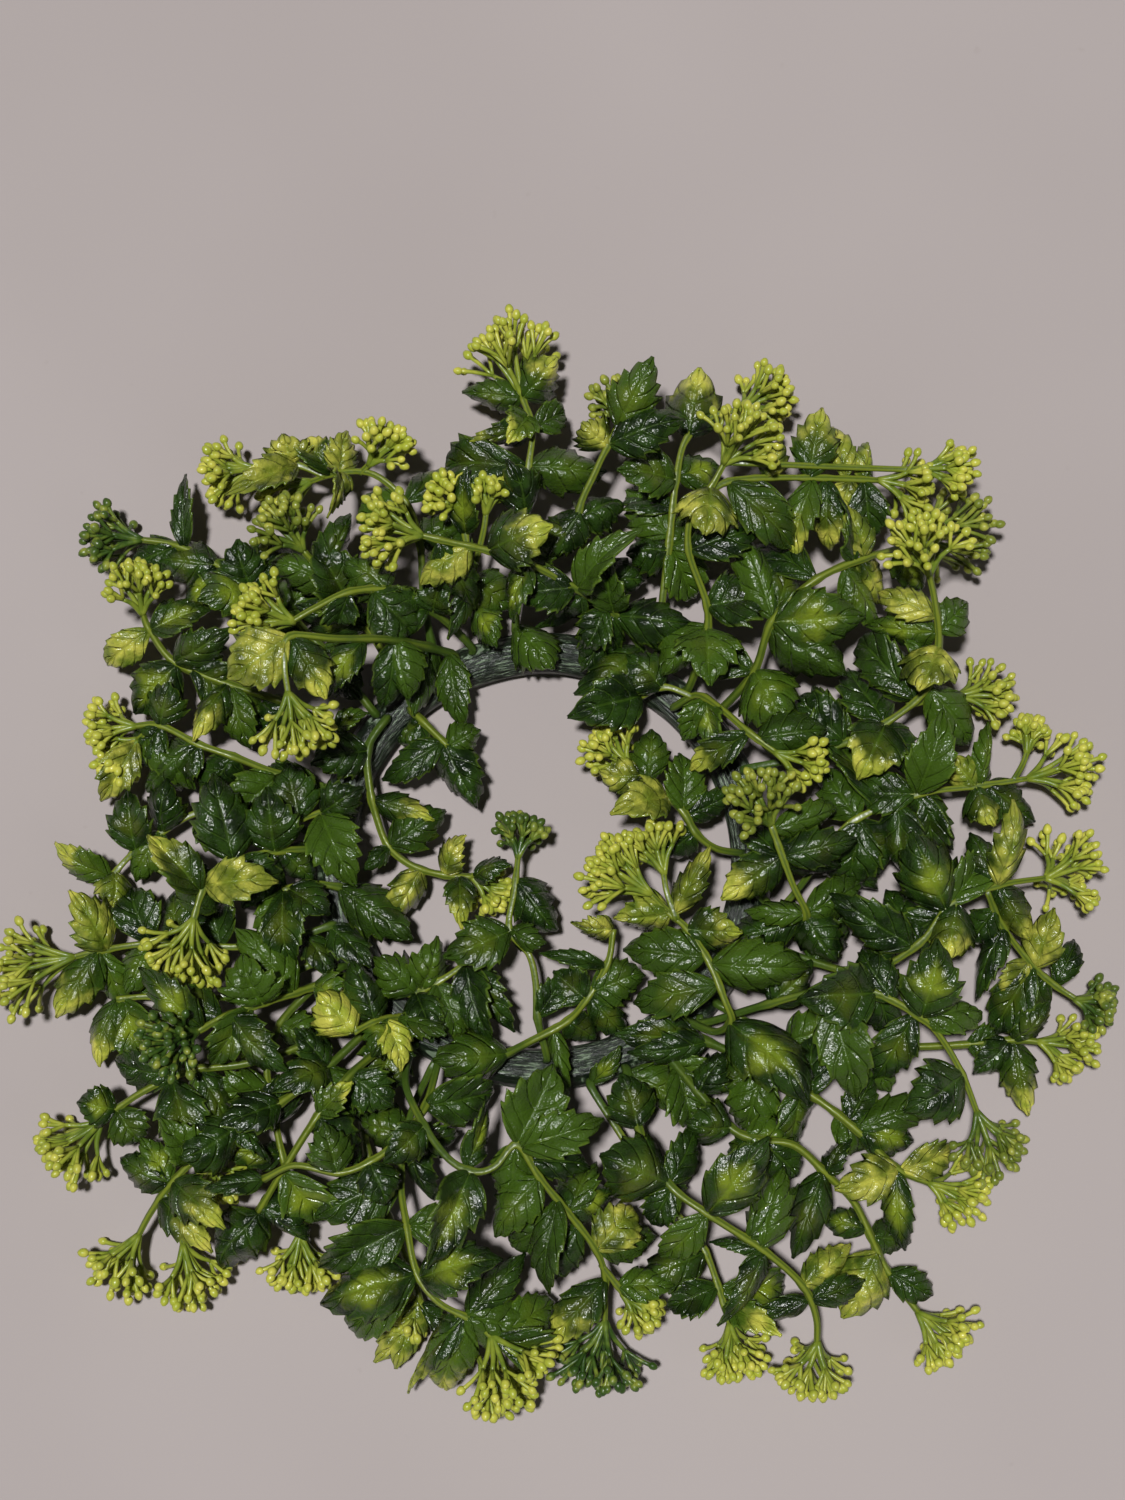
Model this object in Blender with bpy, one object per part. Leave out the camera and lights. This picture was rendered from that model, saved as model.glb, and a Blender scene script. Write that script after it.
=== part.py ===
"""A candle ring of moulded foliage.

A round tube closed into a ring lies on its flat underside. Sprigs stand on it all round, each
moulded in one piece: a stem, its leaves in pairs and the bud heads at its ends. Lengths are in
millimetres until the meshes are finished, x to the right, y away and z up, from the centre of
the ring on the table.
"""

import math

import bmesh
import bpy
from mathutils import Matrix, Vector
from mathutils.bvhtree import BVHTree

MM = 0.001
NAME = "foliage_candle_ring"

# The ring's tube, drawn as a torus whose lowest row of faces is the flat it rests on.
RING_RADIUS = 60.0
TUBE_RADIUS = 6.0
RING_STEPS = 40
TUBE_STEPS = 10
FLAT_DROP = 5.7063  # from the tube's centre down to that flat

# Stems: they leave the tube square to its skin, and taper to their ends.
SEAT_GAP = 0.3
SEAT_RISE = 4.0
STEM_ROOT = 1.35
STEM_END = 1.0
BRANCH_ROOT = 1.1

# Leaves: a blade that is widest below the middle and arched towards its tip.
BLADE = 1.0
PETIOLE = 0.8
WIDEST_AT = 0.4
SHOULDER_AT = 0.76
SHOULDER_WIDTH = 0.72
ARCH = 0.09
CLEAR = 0.35  # kept between a leaf and everything that isn't of its own sprig
LOWEST = 0.5

# Bud heads: a cone that opens from the end of its stem to a domed front.
HEAD_SIDES = 6
HEAD_NECK = 1.3
HEAD_WIDE = 0.92
HEAD_DOME = 0.8

# A leaf that would meet a neighbour is raised or lowered at its tip, swung or narrowed.
TIP_SHIFTS = (0, 3, -3, 6, -6, 9, -9, 12, -12, 16, -16)
SWINGS = (0, 9, -9, 18, -18)
WIDTHS = (1.0, 0.82, 0.66, 0.5)

SPRIGS = [
    # top, the head that faces left over the upper side of the ring
    dict(
        stems=[
            [
                (29, 61, 14), (20, 70, 25), (9, 76, 34), (-4, 82, 41), (-15, 85, 45), (-25, 87, 47),
                (-34, 89, 48),
            ],
        ],
        leaves=[
            (-15, 85, 3, 91, 52, 15, "tip"),
            (-20, 86, -34, 76, 40, 12, "lime"),
            (9, 76, -7, 73, 33, 12, "dark"),
            (10, 76, 28, 91, 45, 12, "dark"),
            (20, 70, 18, 86, 33, 11, "dark"),
            (21, 69, 42, 67, 24, 12, "dark"),
            (-4, 82, -8, 66, 34, 11, "blotch"),
            (12, 74, -2, 66, 19, 13, "dark"),
            (18, 71, 12, 60, 22, 11, "dark"),
            (29, 61, 9, 47, 19, 14, "dark"),
            (20, 70, 11, 54, 16, 13, "dark"),
            (-29, 88, -20, 72, 29, 12, "dark"),
        ],
        heads=[(0, -44, 91, 50, 12, "lime")],
    ),
    # top, straight up to the highest head
    dict(
        stems=[
            [(-8, 67, 14), (-7, 80, 22), (-5, 96, 27), (-4, 111, 29), (-3, 122, 28), (-6, 132, 26)],
        ],
        leaves=[
            (-4, 111, -28, 112, 20, 13, "dark"),
            (-4, 111, 18, 111, 20, 13, "dark"),
            (-5, 97, -10, 111, 34, 11, "dark"),
            (-3, 122, 6, 128, 18, 9, "dark"),
            (-3, 123, -25, 117, 27, 12, "tip"),
            (-4, 126, -10, 117, 33, 10, "tip"),
            (-6, 131, -23, 134, 20, 10, "dark"),
            (-6, 131, 4, 143, 27, 13, "tip"),
            (-7, 84, 8, 96, 26, 11, "dark"),
            (-8, 67, 3, 54, 20, 13, "dark"),
        ],
        heads=[(0, -10, 148, 24, 12, "lime")],
    ),
    # top left, three heads on one long sprig
    dict(
        stems=[
            [
                (-31, 58, 13), (-34, 74, 21), (-35, 90, 26), (-39, 101, 28), (-48, 109, 28),
                (-58, 110, 25), (-67, 108, 20),
            ],
            [(-62, 109.3, 26), (-72, 113, 22), (-83, 112, 20)],
            [(-52, 109.5, 28), (-49, 112, 29)],
        ],
        leaves=[
            (-58, 110, -56, 122, 24, 10, "lime"),
            (-60, 110, -69, 120, 20, 10, "tip"),
            (-58, 110, -61, 96, 32, 12, "lime"),
            (-72, 113, -74, 121, 26, 13, "lime"),
            (-70, 112, -90, 103, 30, 11, "lime"),
            (-39, 101, -53, 96, 23, 12, "dark"),
            (-39, 101, -27, 111, 22, 10, "tip"),
            (-35, 90, -22, 97, 20, 11, "dark"),
            (-32, 62, -37, 41, 9, 11, "dark"),
        ],
        heads=[
            (0, -76, 104, 20, 10, "lime"), (1, -92, 111, 18, 10, "lime"),
            (2, -44, 118, 31, 9, "lime"),
        ],
    ),
    # two small heads behind the top sprigs
    dict(
        stems=[
            [(-17, 64.5, 13), (-20, 78, 22), (-22, 92, 26), (-23, 99, 28)],
            [(-20, 80, 22.6), (-17, 92, 28), (-16, 98, 30)],
        ],
        leaves=[
            (-22, 92, -21, 110, 36, 9, "blotch"),
            (-20, 80, -27, 62, 27, 10, "dark"),
            (-21, 84, -30, 95, 20, 11, "dark"),
            (-19, 72, -13, 60, 24, 10, "blotch"),
            (-20, 80, -10, 72, 14, 12, "dark"),
        ],
        heads=[(0, -28, 104, 31, 7, "lime"), (1, -14, 104, 32, 6, "lime")],
    ),
    # upper left, a head of green buds that faces up
    dict(
        stems=[
            [(-41, 50.5, 13), (-50, 66, 19), (-60, 78, 27), (-68, 87, 33)],
        ],
        leaves=[
            (-55, 72, -65, 89, 29, 15, "dark"),
            (-50, 67, -70, 72, 27, 15, "blotch"),
            (-60, 78, -78, 84, 26, 11, "dark"),
            (-63, 81, -55, 98, 24, 12, "dark"),
            (-50, 66, -40, 75, 22, 12, "dark"),
        ],
        heads=[(0, -74, 94, 38, 10, "mixed")],
    ),
    # upper left, the dark head
    dict(
        stems=[
            [
                (-49, 43, 13), (-62, 59, 16), (-78, 74, 19), (-93, 84, 19), (-105, 90, 17),
                (-116, 92, 16),
            ],
        ],
        leaves=[
            (-103, 89, -103, 111, 14, 8, "dark"),
            (-105, 90, -119, 85, 8, 10, "dark"),
            (-93, 84, -111, 86, 13, 12, "dark"),
            (-92, 83, -103, 73, 12, 12, "blotch"),
            (-84, 78, -87, 91, 24, 12, "dark"),
            (-84, 78, -98, 73, 27, 13, "blotch"),
            (-70, 67, -83, 58, 14, 12, "dark"),
            (-63, 59, -52, 46, 15, 12, "dark"),
            (-74, 70, -62, 88, 11, 13, "dark"),
            (-90, 82, -70, 86, 12, 12, "dark"),
            (-64, 61, -56, 52, 10, 11, "dark"),
            (-99, 87, -88, 76, 11, 12, "dark"),
        ],
        heads=[(0, -126, 93, 15, 10, "dark")],
    ),
    # left of it, a yellow head over two pairs of leaves
    dict(
        stems=[
            [
                (-55, 34, 13), (-72, 44, 17), (-90, 50, 19), (-105, 56, 21), (-112, 65, 23),
                (-114, 70, 25),
            ],
        ],
        leaves=[
            (-112, 65, -125, 56, 14, 10, "lime"),
            (-112, 65, -95, 71, 20, 12, "blotch"),
            (-105, 56, -88, 65, 30, 12, "dark"),
            (-104, 56, -117, 42, 15, 14, "blotch"),
            (-90, 50, -99, 33, 22, 10, "tip"),
            (-89, 50, -84, 32, 12, 11, "dark"),
            (-72, 44, -84, 38, 8, 12, "dark"),
            (-90, 50, -78, 38, 7, 12, "dark"),
            (-60, 37, -50, 42, 9, 7, "blotch"),
            (-101, 54, -90, 50, 13, 12, "dark"),
        ],
        heads=[(0, -115, 78, 28, 11, "lime")],
    ),
    # left, two slender heads side by side
    dict(
        stems=[
            [
                (-61, 20, 13), (-75, 24, 18), (-88, 29, 22), (-98, 32.5, 22), (-109, 38, 20),
                (-117, 38, 18),
            ],
            [(-110, 38, 20), (-116, 34, 16)],
        ],
        leaves=[
            (-109, 38, -115, 28, 9, 13, "dark"),
            (-109, 38, -106, 50, 9, 11, "dark"),
            (-99, 33, -114, 20, 7, 12, "dark"),
            (-98, 32, -103, 24, 14, 10, "dark"),
            (-116, 34, -127, 17, 12, 11, "lime"),
            (-88, 29, -97, 19, 8, 12, "dark"),
            (-75, 24, -90, 12, 16, 15, "dark"),
            (-64, 21, -79, 27, 9, 10, "dark"),
            (-114, 36, -100, 20, 11, 12, "dark"),
        ],
        heads=[(0, -127, 38, 15, 7, "lime"), (1, -125, 28, 14, 7, "lime")],
    ),
    # left, the high stem whose head faces down
    dict(
        stems=[
            [
                (-26, 58.5, 13.5), (-41, 61, 34), (-57, 60, 48), (-70, 60, 53), (-71, 52, 54),
                (-70, 44, 53),
            ],
        ],
        leaves=[
            (-70, 60, -87, 49, 49, 17, "lime"),
            (-69, 59, -60, 43, 50, 12, "tip"),
            (-50, 60.5, -60, 45, 38, 11, "blotch"),
            (-41, 61, -38, 45, 28, 12, "dark"),
            (-33, 60, -47, 51, 20, 12, "dark"),
            (-27, 58.7, -22, 38, 16, 10, "dark"),
            (-41, 61, -46, 43, 21, 10, "dark"),
        ],
        heads=[(0, -67, 33, 50, 11, "lime")],
    ),
    # left, the high head that faces left
    dict(
        stems=[
            [
                (-21, 61.5, 13.5), (-31, 70, 27), (-42, 75, 35), (-54, 74, 40), (-64, 69, 42),
                (-70, 65.5, 42),
            ],
        ],
        leaves=[
            (-32, 71, -49, 69, 29, 15, "dark"),
            (-43, 75, -56, 84, 31, 13, "dark"),
            (-54, 74, -58, 66, 32, 10, "dark"),
            (-31, 70, -28, 80, 18, 11, "dark"),
            (-48, 75, -38, 64, 23, 17, "dark"),
        ],
        heads=[(0, -80, 69, 43, 12, "lime")],
    ),
    # top right of centre, a head held between leaves
    dict(
        stems=[
            [
                (17, 64.5, 13), (14, 80, 24), (10, 96, 31), (15, 109, 35), (19, 117, 37),
                (22, 123, 37),
            ],
        ],
        leaves=[
            (18, 116, 11, 122, 40, 10, "lime"),
            (21, 121, 31, 140, 43, 13, "dark"),
            (19, 116, 40, 123, 38, 13, "dark"),
            (10, 96, 23, 101, 22, 12, "dark"),
            (11, 94, -4, 88, 22, 11, "dark"),
            (14, 80, 29, 80, 16, 12, "dark"),
            (11, 98, 4, 86, 20, 11, "dark"),
        ],
        heads=[(0, 20, 131, 33, 7, "mixed")],
    ),
    # top right, the long curved stem
    dict(
        stems=[
            [
                (33, 57, 13), (34, 72, 18), (36, 90, 22), (38, 108, 24), (41, 120, 23),
                (49, 127, 21), (57, 129, 20),
            ],
        ],
        leaves=[
            (41, 121, 45, 141, 20, 16, "tip"),
            (38, 108, 21, 110, 30, 14, "dark"),
            (38, 109, 51, 113, 15, 11, "blotch"),
            (36, 92, 24, 106, 17, 14, "dark"),
            (36, 88, 24, 87, 15, 13, "dark"),
            (36, 89, 50, 96, 13, 13, "dark"),
            (36, 90, 44, 76, 8, 12, "dark"),
            (37, 100, 24, 104, 14, 12, "dark"),
        ],
        heads=[(0, 65, 134, 18, 10, "lime")],
    ),
    # top right, the high sprig with a round head and a long one
    dict(
        stems=[
            [
                (42, 50, 13), (46, 61, 24), (46.5, 71, 31), (41, 86, 38), (42, 97, 42),
                (47, 103, 43), (51, 110, 44),
            ],
            [(44.5, 100, 42.5), (52, 105, 41), (64, 106.5, 38), (80, 107, 34), (96, 107, 30)],
            [(88, 107, 32), (98, 110, 32), (107, 110, 32)],
        ],
        leaves=[
            (47, 103, 45, 89, 49, 17, "lime"),
            (41, 86, 61, 93, 32, 12, "dark"),
            (52, 105, 71, 87, 32, 12, "dark"),
            (63, 106, 67, 117, 40, 8, "lime"),
            (75, 107, 79, 127, 34, 12, "tip"),
            (76, 107, 72, 84, 30, 10, "tip"),
            (86, 107, 83, 123, 24, 8, "lime"),
            (87, 107, 84, 96, 27, 10, "lime"),
            (91, 107, 92, 118, 23, 9, "lime"),
            (91, 107, 93, 91, 22, 11, "dark"),
            (46.5, 71, 64, 74, 28, 16, "dark"),
            (46, 65, 47, 48, 36, 16, "dark"),
            (46, 66, 34, 52, 24, 13, "dark"),
            (60, 106, 66, 92, 24, 12, "dark"),
            (80, 107, 82, 88, 24, 10, "tip"),
            (42, 50, 36, 32, 20, 11, "dark"),
        ],
        heads=[
            (0, 57, 119, 46, 12, "lime"), (1, 107, 105, 27, 9, "lime"),
            (2, 119, 110, 33, 6, "lime"),
        ],
    ),
    # right of it, the arching stem with the dark head
    dict(
        stems=[
            [
                (50, 42, 13), (60, 53, 25), (65, 67, 33), (77, 78, 36), (91, 84.5, 33),
                (101, 88, 25), (107, 91, 21),
            ],
        ],
        leaves=[
            (65, 66, 91, 68, 33, 17, "blotch"),
            (64, 65, 86, 52, 27, 14, "dark"),
            (91, 84, 86, 99, 22, 10, "lime"),
            (90, 84, 97, 73, 20, 9, "lime"),
            (77, 78, 63, 89, 22, 13, "dark"),
            (60, 53, 70, 37, 30, 16, "dark"),
            (60, 53, 48, 58, 14, 12, "dark"),
            (88, 83, 83, 102, 21, 12, "dark"),
            (65, 67, 55, 93, 21, 12, "dark"),
            (65, 67, 70, 84, 20, 11, "dark"),
            (85, 82, 96, 66, 21, 12, "dark"),
            (101, 88, 108, 77, 16, 10, "blotch"),
        ],
        heads=[(0, 123, 95, 15, 12, "mixed")],
    ),
    # right, the stem that climbs past the yellow lobed leaf
    dict(
        stems=[
            [
                (58.5, 26, 13), (74, 29, 18), (86, 33, 22), (97, 38, 26), (109, 48, 30),
                (111.5, 60, 35), (110, 71, 40), (108, 79, 43),
            ],
            [(103, 43, 28), (113, 45.5, 24), (119, 46.5, 21)],
        ],
        leaves=[
            (111.5, 59, 105, 46, 41, 16, "lime"),
            (111, 63, 120, 72, 30, 10, "dark"),
            (111, 63, 92, 66, 26, 11, "blotch"),
            (109, 48, 122, 33, 16, 13, "dark"),
            (110, 67, 95, 75, 26, 9, "lime"),
            (97, 38, 89, 22, 29, 16, "tip"),
            (97, 38, 105, 24, 17, 13, "dark"),
            (86, 33, 72, 46, 15, 14, "dark"),
            (74, 29, 88, 44, 15, 13, "dark"),
            (97, 38, 88, 55, 10, 14, "dark"),
            (105, 45, 97, 62, 14, 14, "dark"),
            (110, 52, 103, 66, 20, 11, "dark"),
            (86, 33, 78, 50, 9, 13, "dark"),
            (105, 45, 91, 62, 9, 13, "dark"),
        ],
        heads=[(0, 106, 88, 47, 13, "lime"), (1, 128, 48, 18, 9, "lime")],
    ),
    # right, a long stem with a head at its end and a small one beside it
    dict(
        stems=[
            [
                (62.5, -14, 9), (69, -13, 12), (74, -7, 16), (80, 1.5, 22), (88, 10.5, 24),
                (106, 18, 25), (123, 20.5, 22), (139, 23, 19),
            ],
            [(134, 22.3, 20), (137, 27, 18), (138.5, 31, 17)],
        ],
        leaves=[
            (106, 18, 113, 42, 24, 12, "dark"),
            (106, 18, 90, 19, 17, 11, "dark"),
            (106, 18, 117, 3, 15, 13, "dark"),
            (123, 20.5, 116, 29, 23, 10, "lime"),
            (124, 21, 127, 39, 20, 9, "dark"),
            (123, 20.5, 128, 9, 25, 11, "tip"),
            (126, 21, 141, 11, 12, 12, "dark"),
            (88, 10.5, 96, -4, 15, 14, "dark"),
            (80, 1.5, 72, 8, 18, 12, "dark"),
            (90, 11, 86, -6, 12, 14, "dark"),
            (100, 16, 104, -4, 14, 14, "dark"),
            (108, 18, 113, 4, 12, 10, "dark"),
            (80, 2, 96, -8, 9, 12, "dark"),
            (89, 11, 80, 26, 15, 12, "dark"),
            (97, 14, 84, 34, 15, 13, "dark"),
        ],
        heads=[(0, 153, 26, 16, 10, "lime"), (1, 140, 37, 15, 5, "lime")],
    ),
    # right, below it, the stem that rises in an arch
    dict(
        stems=[
            [
                (58, -21, 13), (76, -29, 20), (92, -32, 26), (106, -24, 31), (114, -14, 33),
                (128, -8, 30), (143, -5.5, 24),
            ],
            [(125, -9.5, 30.8), (130, -19, 24), (139, -30, 19), (146, -36, 17), (152, -40, 17)],
        ],
        leaves=[
            (113, -15, 103, 7, 38, 16, "blotch"),
            (128, -8, 132, 16, 34, 10, "lime"),
            (128, -8, 138, -23, 22, 10, "tip"),
            (116, -13, 113, -29, 35, 15, "tip"),
            (114, -14, 125, 2, 19, 11, "dark"),
            (104, -25, 80, -10, 30, 13, "dark"),
            (92, -32, 100, -14, 19, 13, "dark"),
            (76, -29, 87, -13, 17, 14, "dark"),
            (140, -31, 145, -14, 22, 12, "lime"),
            (138, -29, 130, -38, 15, 11, "lime"),
            (146, -36, 152, -23, 12, 8, "dark"),
            (143, -34, 135, -45, 9, 10, "dark"),
            (106, -24, 98, -9, 16, 12, "dark"),
            (130, -19, 124, -40, 12, 12, "dark"),
            (139, -30, 130, -50, 8, 12, "dark"),
            (92, -32, 99, -49, 10, 10, "dark"),
            (113, -15, 100, -24, 20, 12, "dark"),
            (128, -8, 121, 7, 24, 10, "dark"),
            (128, -14, 122, -23, 15, 9, "dark"),
        ],
        heads=[(0, 151, -3, 19, 13, "lime"), (1, 158, -41, 17, 9, "dark")],
    ),
    # lower right, the low stem that runs straight out
    dict(
        stems=[
            [
                (50, -41, 11), (70, -52, 13), (92, -53.5, 14), (116, -53, 14), (134, -51.5, 14),
                (142, -52, 14),
            ],
        ],
        leaves=[
            (133, -51.5, 123, -61, 11, 11, "dark"),
            (134, -51.5, 139, -73, 9, 10, "tip"),
            (134, -51.5, 144, -40, 10, 10, "dark"),
            (92, -53.5, 99, -66, 12, 10, "dark"),
            (70, -52, 85, -44, 12, 13, "dark"),
            (121, -53, 130, -52, 9, 11, "dark"),
        ],
        heads=[(0, 152, -54, 13, 10, "lime")],
    ),
    # lower right, the high stem with the dark and yellow head
    dict(
        stems=[
            [
                (46, -46, 13), (64, -41, 26), (80, -37, 33), (93, -38, 34), (106, -45, 33),
                (112, -51, 31), (118, -61, 28), (122.5, -72, 25),
            ],
        ],
        leaves=[
            (106, -45, 110, -23, 35, 15, "blotch"),
            (106, -45, 124, -44, 18, 14, "dark"),
            (118, -61, 101, -71, 31, 17, "dark"),
            (104, -44, 94, -62, 20, 12, "dark"),
            (93, -38, 71, -40, 38, 18, "dark"),
            (80, -37, 88, -68, 27, 15, "dark"),
            (64, -41, 76, -29, 24, 13, "dark"),
            (98, -41, 90, -26, 21, 11, "dark"),
        ],
        heads=[(0, 127, -83, 22, 11, "mixed")],
    ),
    # lower right, a yellow head just under the last one
    dict(
        stems=[
            [
                (43, -50, 13), (58, -57, 20), (76, -67, 23), (89, -77, 23), (100, -87.5, 21),
                (110, -92, 19),
            ],
        ],
        leaves=[
            (101, -88, 116, -83, 12, 10, "lime"),
            (100, -88, 82, -93, 26, 12, "lime"),
            (99, -87, 103, -111, 12, 9, "blotch"),
            (89, -77, 105, -80, 16, 12, "blotch"),
            (88, -76, 112, -71, 18, 10, "dark"),
            (76, -67, 78, -50, 16, 13, "dark"),
            (60, -58, 50, -66, 14, 11, "dark"),
            (62, -59, 57, -77, 9, 13, "dark"),
            (73, -65, 72, -81, 9, 13, "dark"),
            (83, -72, 91, -81, 8, 11, "dark"),
            (45, -51, 21, -46, 9, 12, "dark"),
            (47, -52, 24, -55, 9, 10, "dark"),
            (86, -75, 94, -62, 14, 9, "dark"),
        ],
        heads=[(0, 119, -96, 16, 10, "lime")],
    ),
    # lower right, a long stem down to the corner
    dict(
        stems=[
            [
                (35, -55, 13), (44, -66, 19), (53, -76, 22), (61, -79.5, 23), (71, -81, 23),
                (80, -89, 21), (88, -97, 18), (93, -107, 16), (98, -117, 14), (107, -129, 13),
            ],
        ],
        leaves=[
            (53, -76, 40, -74, 27, 15, "dark"),
            (61, -79.5, 53, -88, 16, 10, "dark"),
            (62, -79.5, 72, -90, 14, 12, "dark"),
            (79, -88, 71, -113, 15, 11, "dark"),
            (80, -89, 88, -79, 14, 9, "dark"),
            (92, -105, 80, -101, 10, 8, "blotch"),
            (93, -107, 105, -109, 10, 9, "dark"),
            (95, -111, 85, -130, 13, 14, "lime"),
            (98, -117, 111, -124, 9, 9, "dark"),
            (44, -66, 52, -55, 15, 12, "dark"),
            (38, -59, 42, -76, 9, 14, "dark"),
            (36, -57, 50, -66, 9, 12, "dark"),
            (57, -78, 70, -80, 14, 12, "dark"),
        ],
        heads=[(0, 116, -136, 13, 10, "lime")],
    ),
    # bottom right, the thick stem to the open head
    dict(
        stems=[
            [
                (24, -61, 13), (27, -76, 25), (35, -91, 31), (46, -99.5, 32), (62, -110, 29),
                (73, -120, 25), (77, -129, 21), (77.5, -137, 18),
            ],
        ],
        leaves=[
            (46, -99.5, 63, -78, 38, 15, "blotch"),
            (61, -109.5, 68, -87, 26, 12, "dark"),
            (46, -99.5, 33, -112, 20, 11, "dark"),
            (35, -91, 16, -83, 36, 17, "dark"),
            (36, -92, 31, -103, 22, 9, "dark"),
            (73, -120, 87, -109, 17, 10, "lime"),
            (75, -124, 91, -119, 12, 8, "dark"),
            (62, -110, 49, -131, 26, 9, "dark"),
            (61, -109, 47, -108, 24, 7, "dark"),
            (75, -124, 53, -131, 11, 8, "dark"),
            (27, -76, 22, -61, 23, 13, "dark"),
            (38, -93, 30, -100, 19, 12, "dark"),
            (57, -107, 72, -92, 19, 11, "dark"),
            (24, -61, 42, -70, 8, 12, "dark"),
            (36, -91, 42, -76, 19, 11, "dark"),
        ],
        heads=[(0, 76, -146, 14, 12, "lime")],
    ),
    # bottom right, the lower stem behind it
    dict(
        stems=[
            [
                (14, -64.5, 11), (22, -78, 13), (32, -94, 15), (41, -104, 16), (46, -111, 17),
                (50, -122, 16), (53, -132, 15),
            ],
        ],
        leaves=[
            (50, -122, 69, -122, 9, 13, "blotch"),
            (51, -126, 67, -134, 9, 8, "tip"),
            (46, -111, 26, -122, 20, 13, "dark"),
            (49, -121, 35, -127, 13, 10, "dark"),
            (32, -94, 42, -84, 12, 11, "dark"),
            (14, -64, 22, -53, 7, 6, "blotch"),
        ],
        heads=[(0, 54, -142, 14, 10, "lime")],
    ),
    # bottom, the long yellow stem that swings under the ring and out to the dark head
    dict(
        stems=[
            [
                (-38, -55, 13.5), (-38.5, -64, 26), (-33, -75, 34), (-26, -84, 38),
                (-19, -87.5, 39), (-13, -86, 39), (-7, -80, 39), (-1, -89, 37), (7, -99, 33),
                (14.5, -109, 29), (17.5, -117, 25), (17.5, -124, 21), (17.5, -131, 18),
            ],
            [(16.5, -114, 27), (21, -120, 24), (23, -123, 23)],
        ],
        leaves=[
            (-7, -80, 3, -58, 38, 18, "dark"),
            (-6, -81, 17, -73, 36, 12, "dark"),
            (-4, -84, 13, -87, 28, 10, "dark"),
            (-20, -87.5, -32, -114, 42, 17, "blotch"),
            (-21, -87, -16, -67, 30, 11, "blotch"),
            (17.5, -118, 3, -137, 20, 12, "tip"),
            (7, -99, 20, -94, 24, 10, "blotch"),
            (15, -110, 25, -98, 22, 13, "lime"),
            (4, -95, 2, -122, 26, 11, "dark"),
            (-1, -89, -13, -106, 30, 12, "dark"),
            (21, -120, 37, -120, 18, 10, "dark"),
            (-33, -75, -44, -85, 28, 12, "dark"),
            (-7, -80, -12, -98, 26, 12, "dark"),
            (7, -99, 15, -86, 22, 11, "dark"),
            (10, -103, 0, -118, 16, 13, "dark"),
            (7, -99, -9, -108, 18, 12, "dark"),
            (14, -109, 32, -107, 16, 12, "dark"),
            (7, -99, 14, -88, 21, 11, "dark"),
        ],
        heads=[(0, 15, -145, 14, 12, "dark"), (1, 29, -128, 20, 7, "lime")],
    ),
    # bottom, the stem to the largest head
    dict(
        stems=[
            [
                (-33, -61.5, 8), (-38, -74, 16), (-40, -90, 23), (-38, -103, 29), (-35, -116, 32),
                (-29, -124, 32), (-20, -129, 30), (-14, -134, 28),
            ],
            [(-24, -127, 31), (-20, -136, 22), (-17, -143, 18)],
        ],
        leaves=[
            (-35, -116, -62, -125, 26, 19, "blotch"),
            (-34, -117, -11, -112, 36, 15, "blotch"),
            (-21, -128.5, -5, -111, 24, 10, "dark"),
            (-22, -128, -38, -151, 14, 14, "tip"),
            (-38, -103, -63, -115, 22, 15, "dark"),
            (-40, -90, -64, -101, 22, 16, "dark"),
            (-38, -103, -21, -103, 22, 12, "dark"),
            (-39, -80, -24, -78, 14, 12, "dark"),
            (-39, -78, -52, -74, 12, 13, "dark"),
            (-39, -80, -31, -97, 8, 11, "dark"),
            (-22, -128, -4, -130, 20, 15, "dark"),
            (-14, -134, 2, -137, 14, 12, "dark"),
            (-35, -116, -55, -133, 10, 13, "dark"),
            (-22, -128, -27, -150, 8, 12, "tip"),
            (-14, -134, 3, -126, 10, 12, "dark"),
        ],
        heads=[(0, -8, -145, 28, 13, "lime"), (1, -12, -153, 14, 10, "lime")],
    ),
    # bottom left, a thin low stem between the leaves
    dict(
        stems=[
            [
                (-45, -49, 11), (-52, -64, 10), (-50, -84, 10), (-44, -102, 10), (-38, -116, 10),
                (-35, -126, 10),
            ],
        ],
        leaves=[
            (-34, -127, -48, -143, 8, 12, "lime"),
            (-35, -126, -27, -138, 7, 9, "dark"),
            (-44, -102, -56, -112, 7, 12, "dark"),
            (-50, -84, -46, -100, 6, 13, "dark"),
            (-36, -124, -42, -145, 6, 10, "lime"),
        ],
        heads=[(0, -41, -133, 10, 5, "lime")],
    ),
    # far left, a large head under two broad leaves
    dict(
        stems=[
            [
                (-61, -19, 13), (-76, -24, 15), (-92, -25, 14), (-112, -24, 14), (-126, -26, 16),
                (-134, -28, 18),
            ],
        ],
        leaves=[
            (-124, -26, -134, -9, 24, 14, "lime"),
            (-126, -27, -139, -45, 13, 13, "tip"),
            (-112, -24, -119, -38, 14, 10, "dark"),
            (-92, -25, -103, -37, 15, 11, "dark"),
            (-112, -24, -118, -8, 8, 14, "dark"),
            (-104, -24, -106, -9, 6, 13, "dark"),
            (-92, -25, -94, -10, 7, 13, "dark"),
            (-126, -26, -121, -43, 7, 10, "dark"),
            (-68, -21, -60, -34, 9, 10, "dark"),
            (-61, -19, -49, -31, 19, 11, "dark"),
        ],
        heads=[(0, -151, -31, 15, 13, "lime")],
    ),
    # far left, a bare stem that ends in curled leaves
    dict(
        stems=[
            [
                (-65, 8, 9), (-80, 13, 12), (-97, 14, 13), (-109, 8, 13), (-118, 1.5, 12),
                (-124, -5, 11),
            ],
        ],
        leaves=[
            (-124, -5, -140, 5, 11, 10, "tip"),
            (-122, -4, -124, -15, 10, 11, "lime"),
            (-117, 3, -119, 20, 14, 13, "dark"),
            (-109, 8, -107, 23, 10, 12, "dark"),
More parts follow.
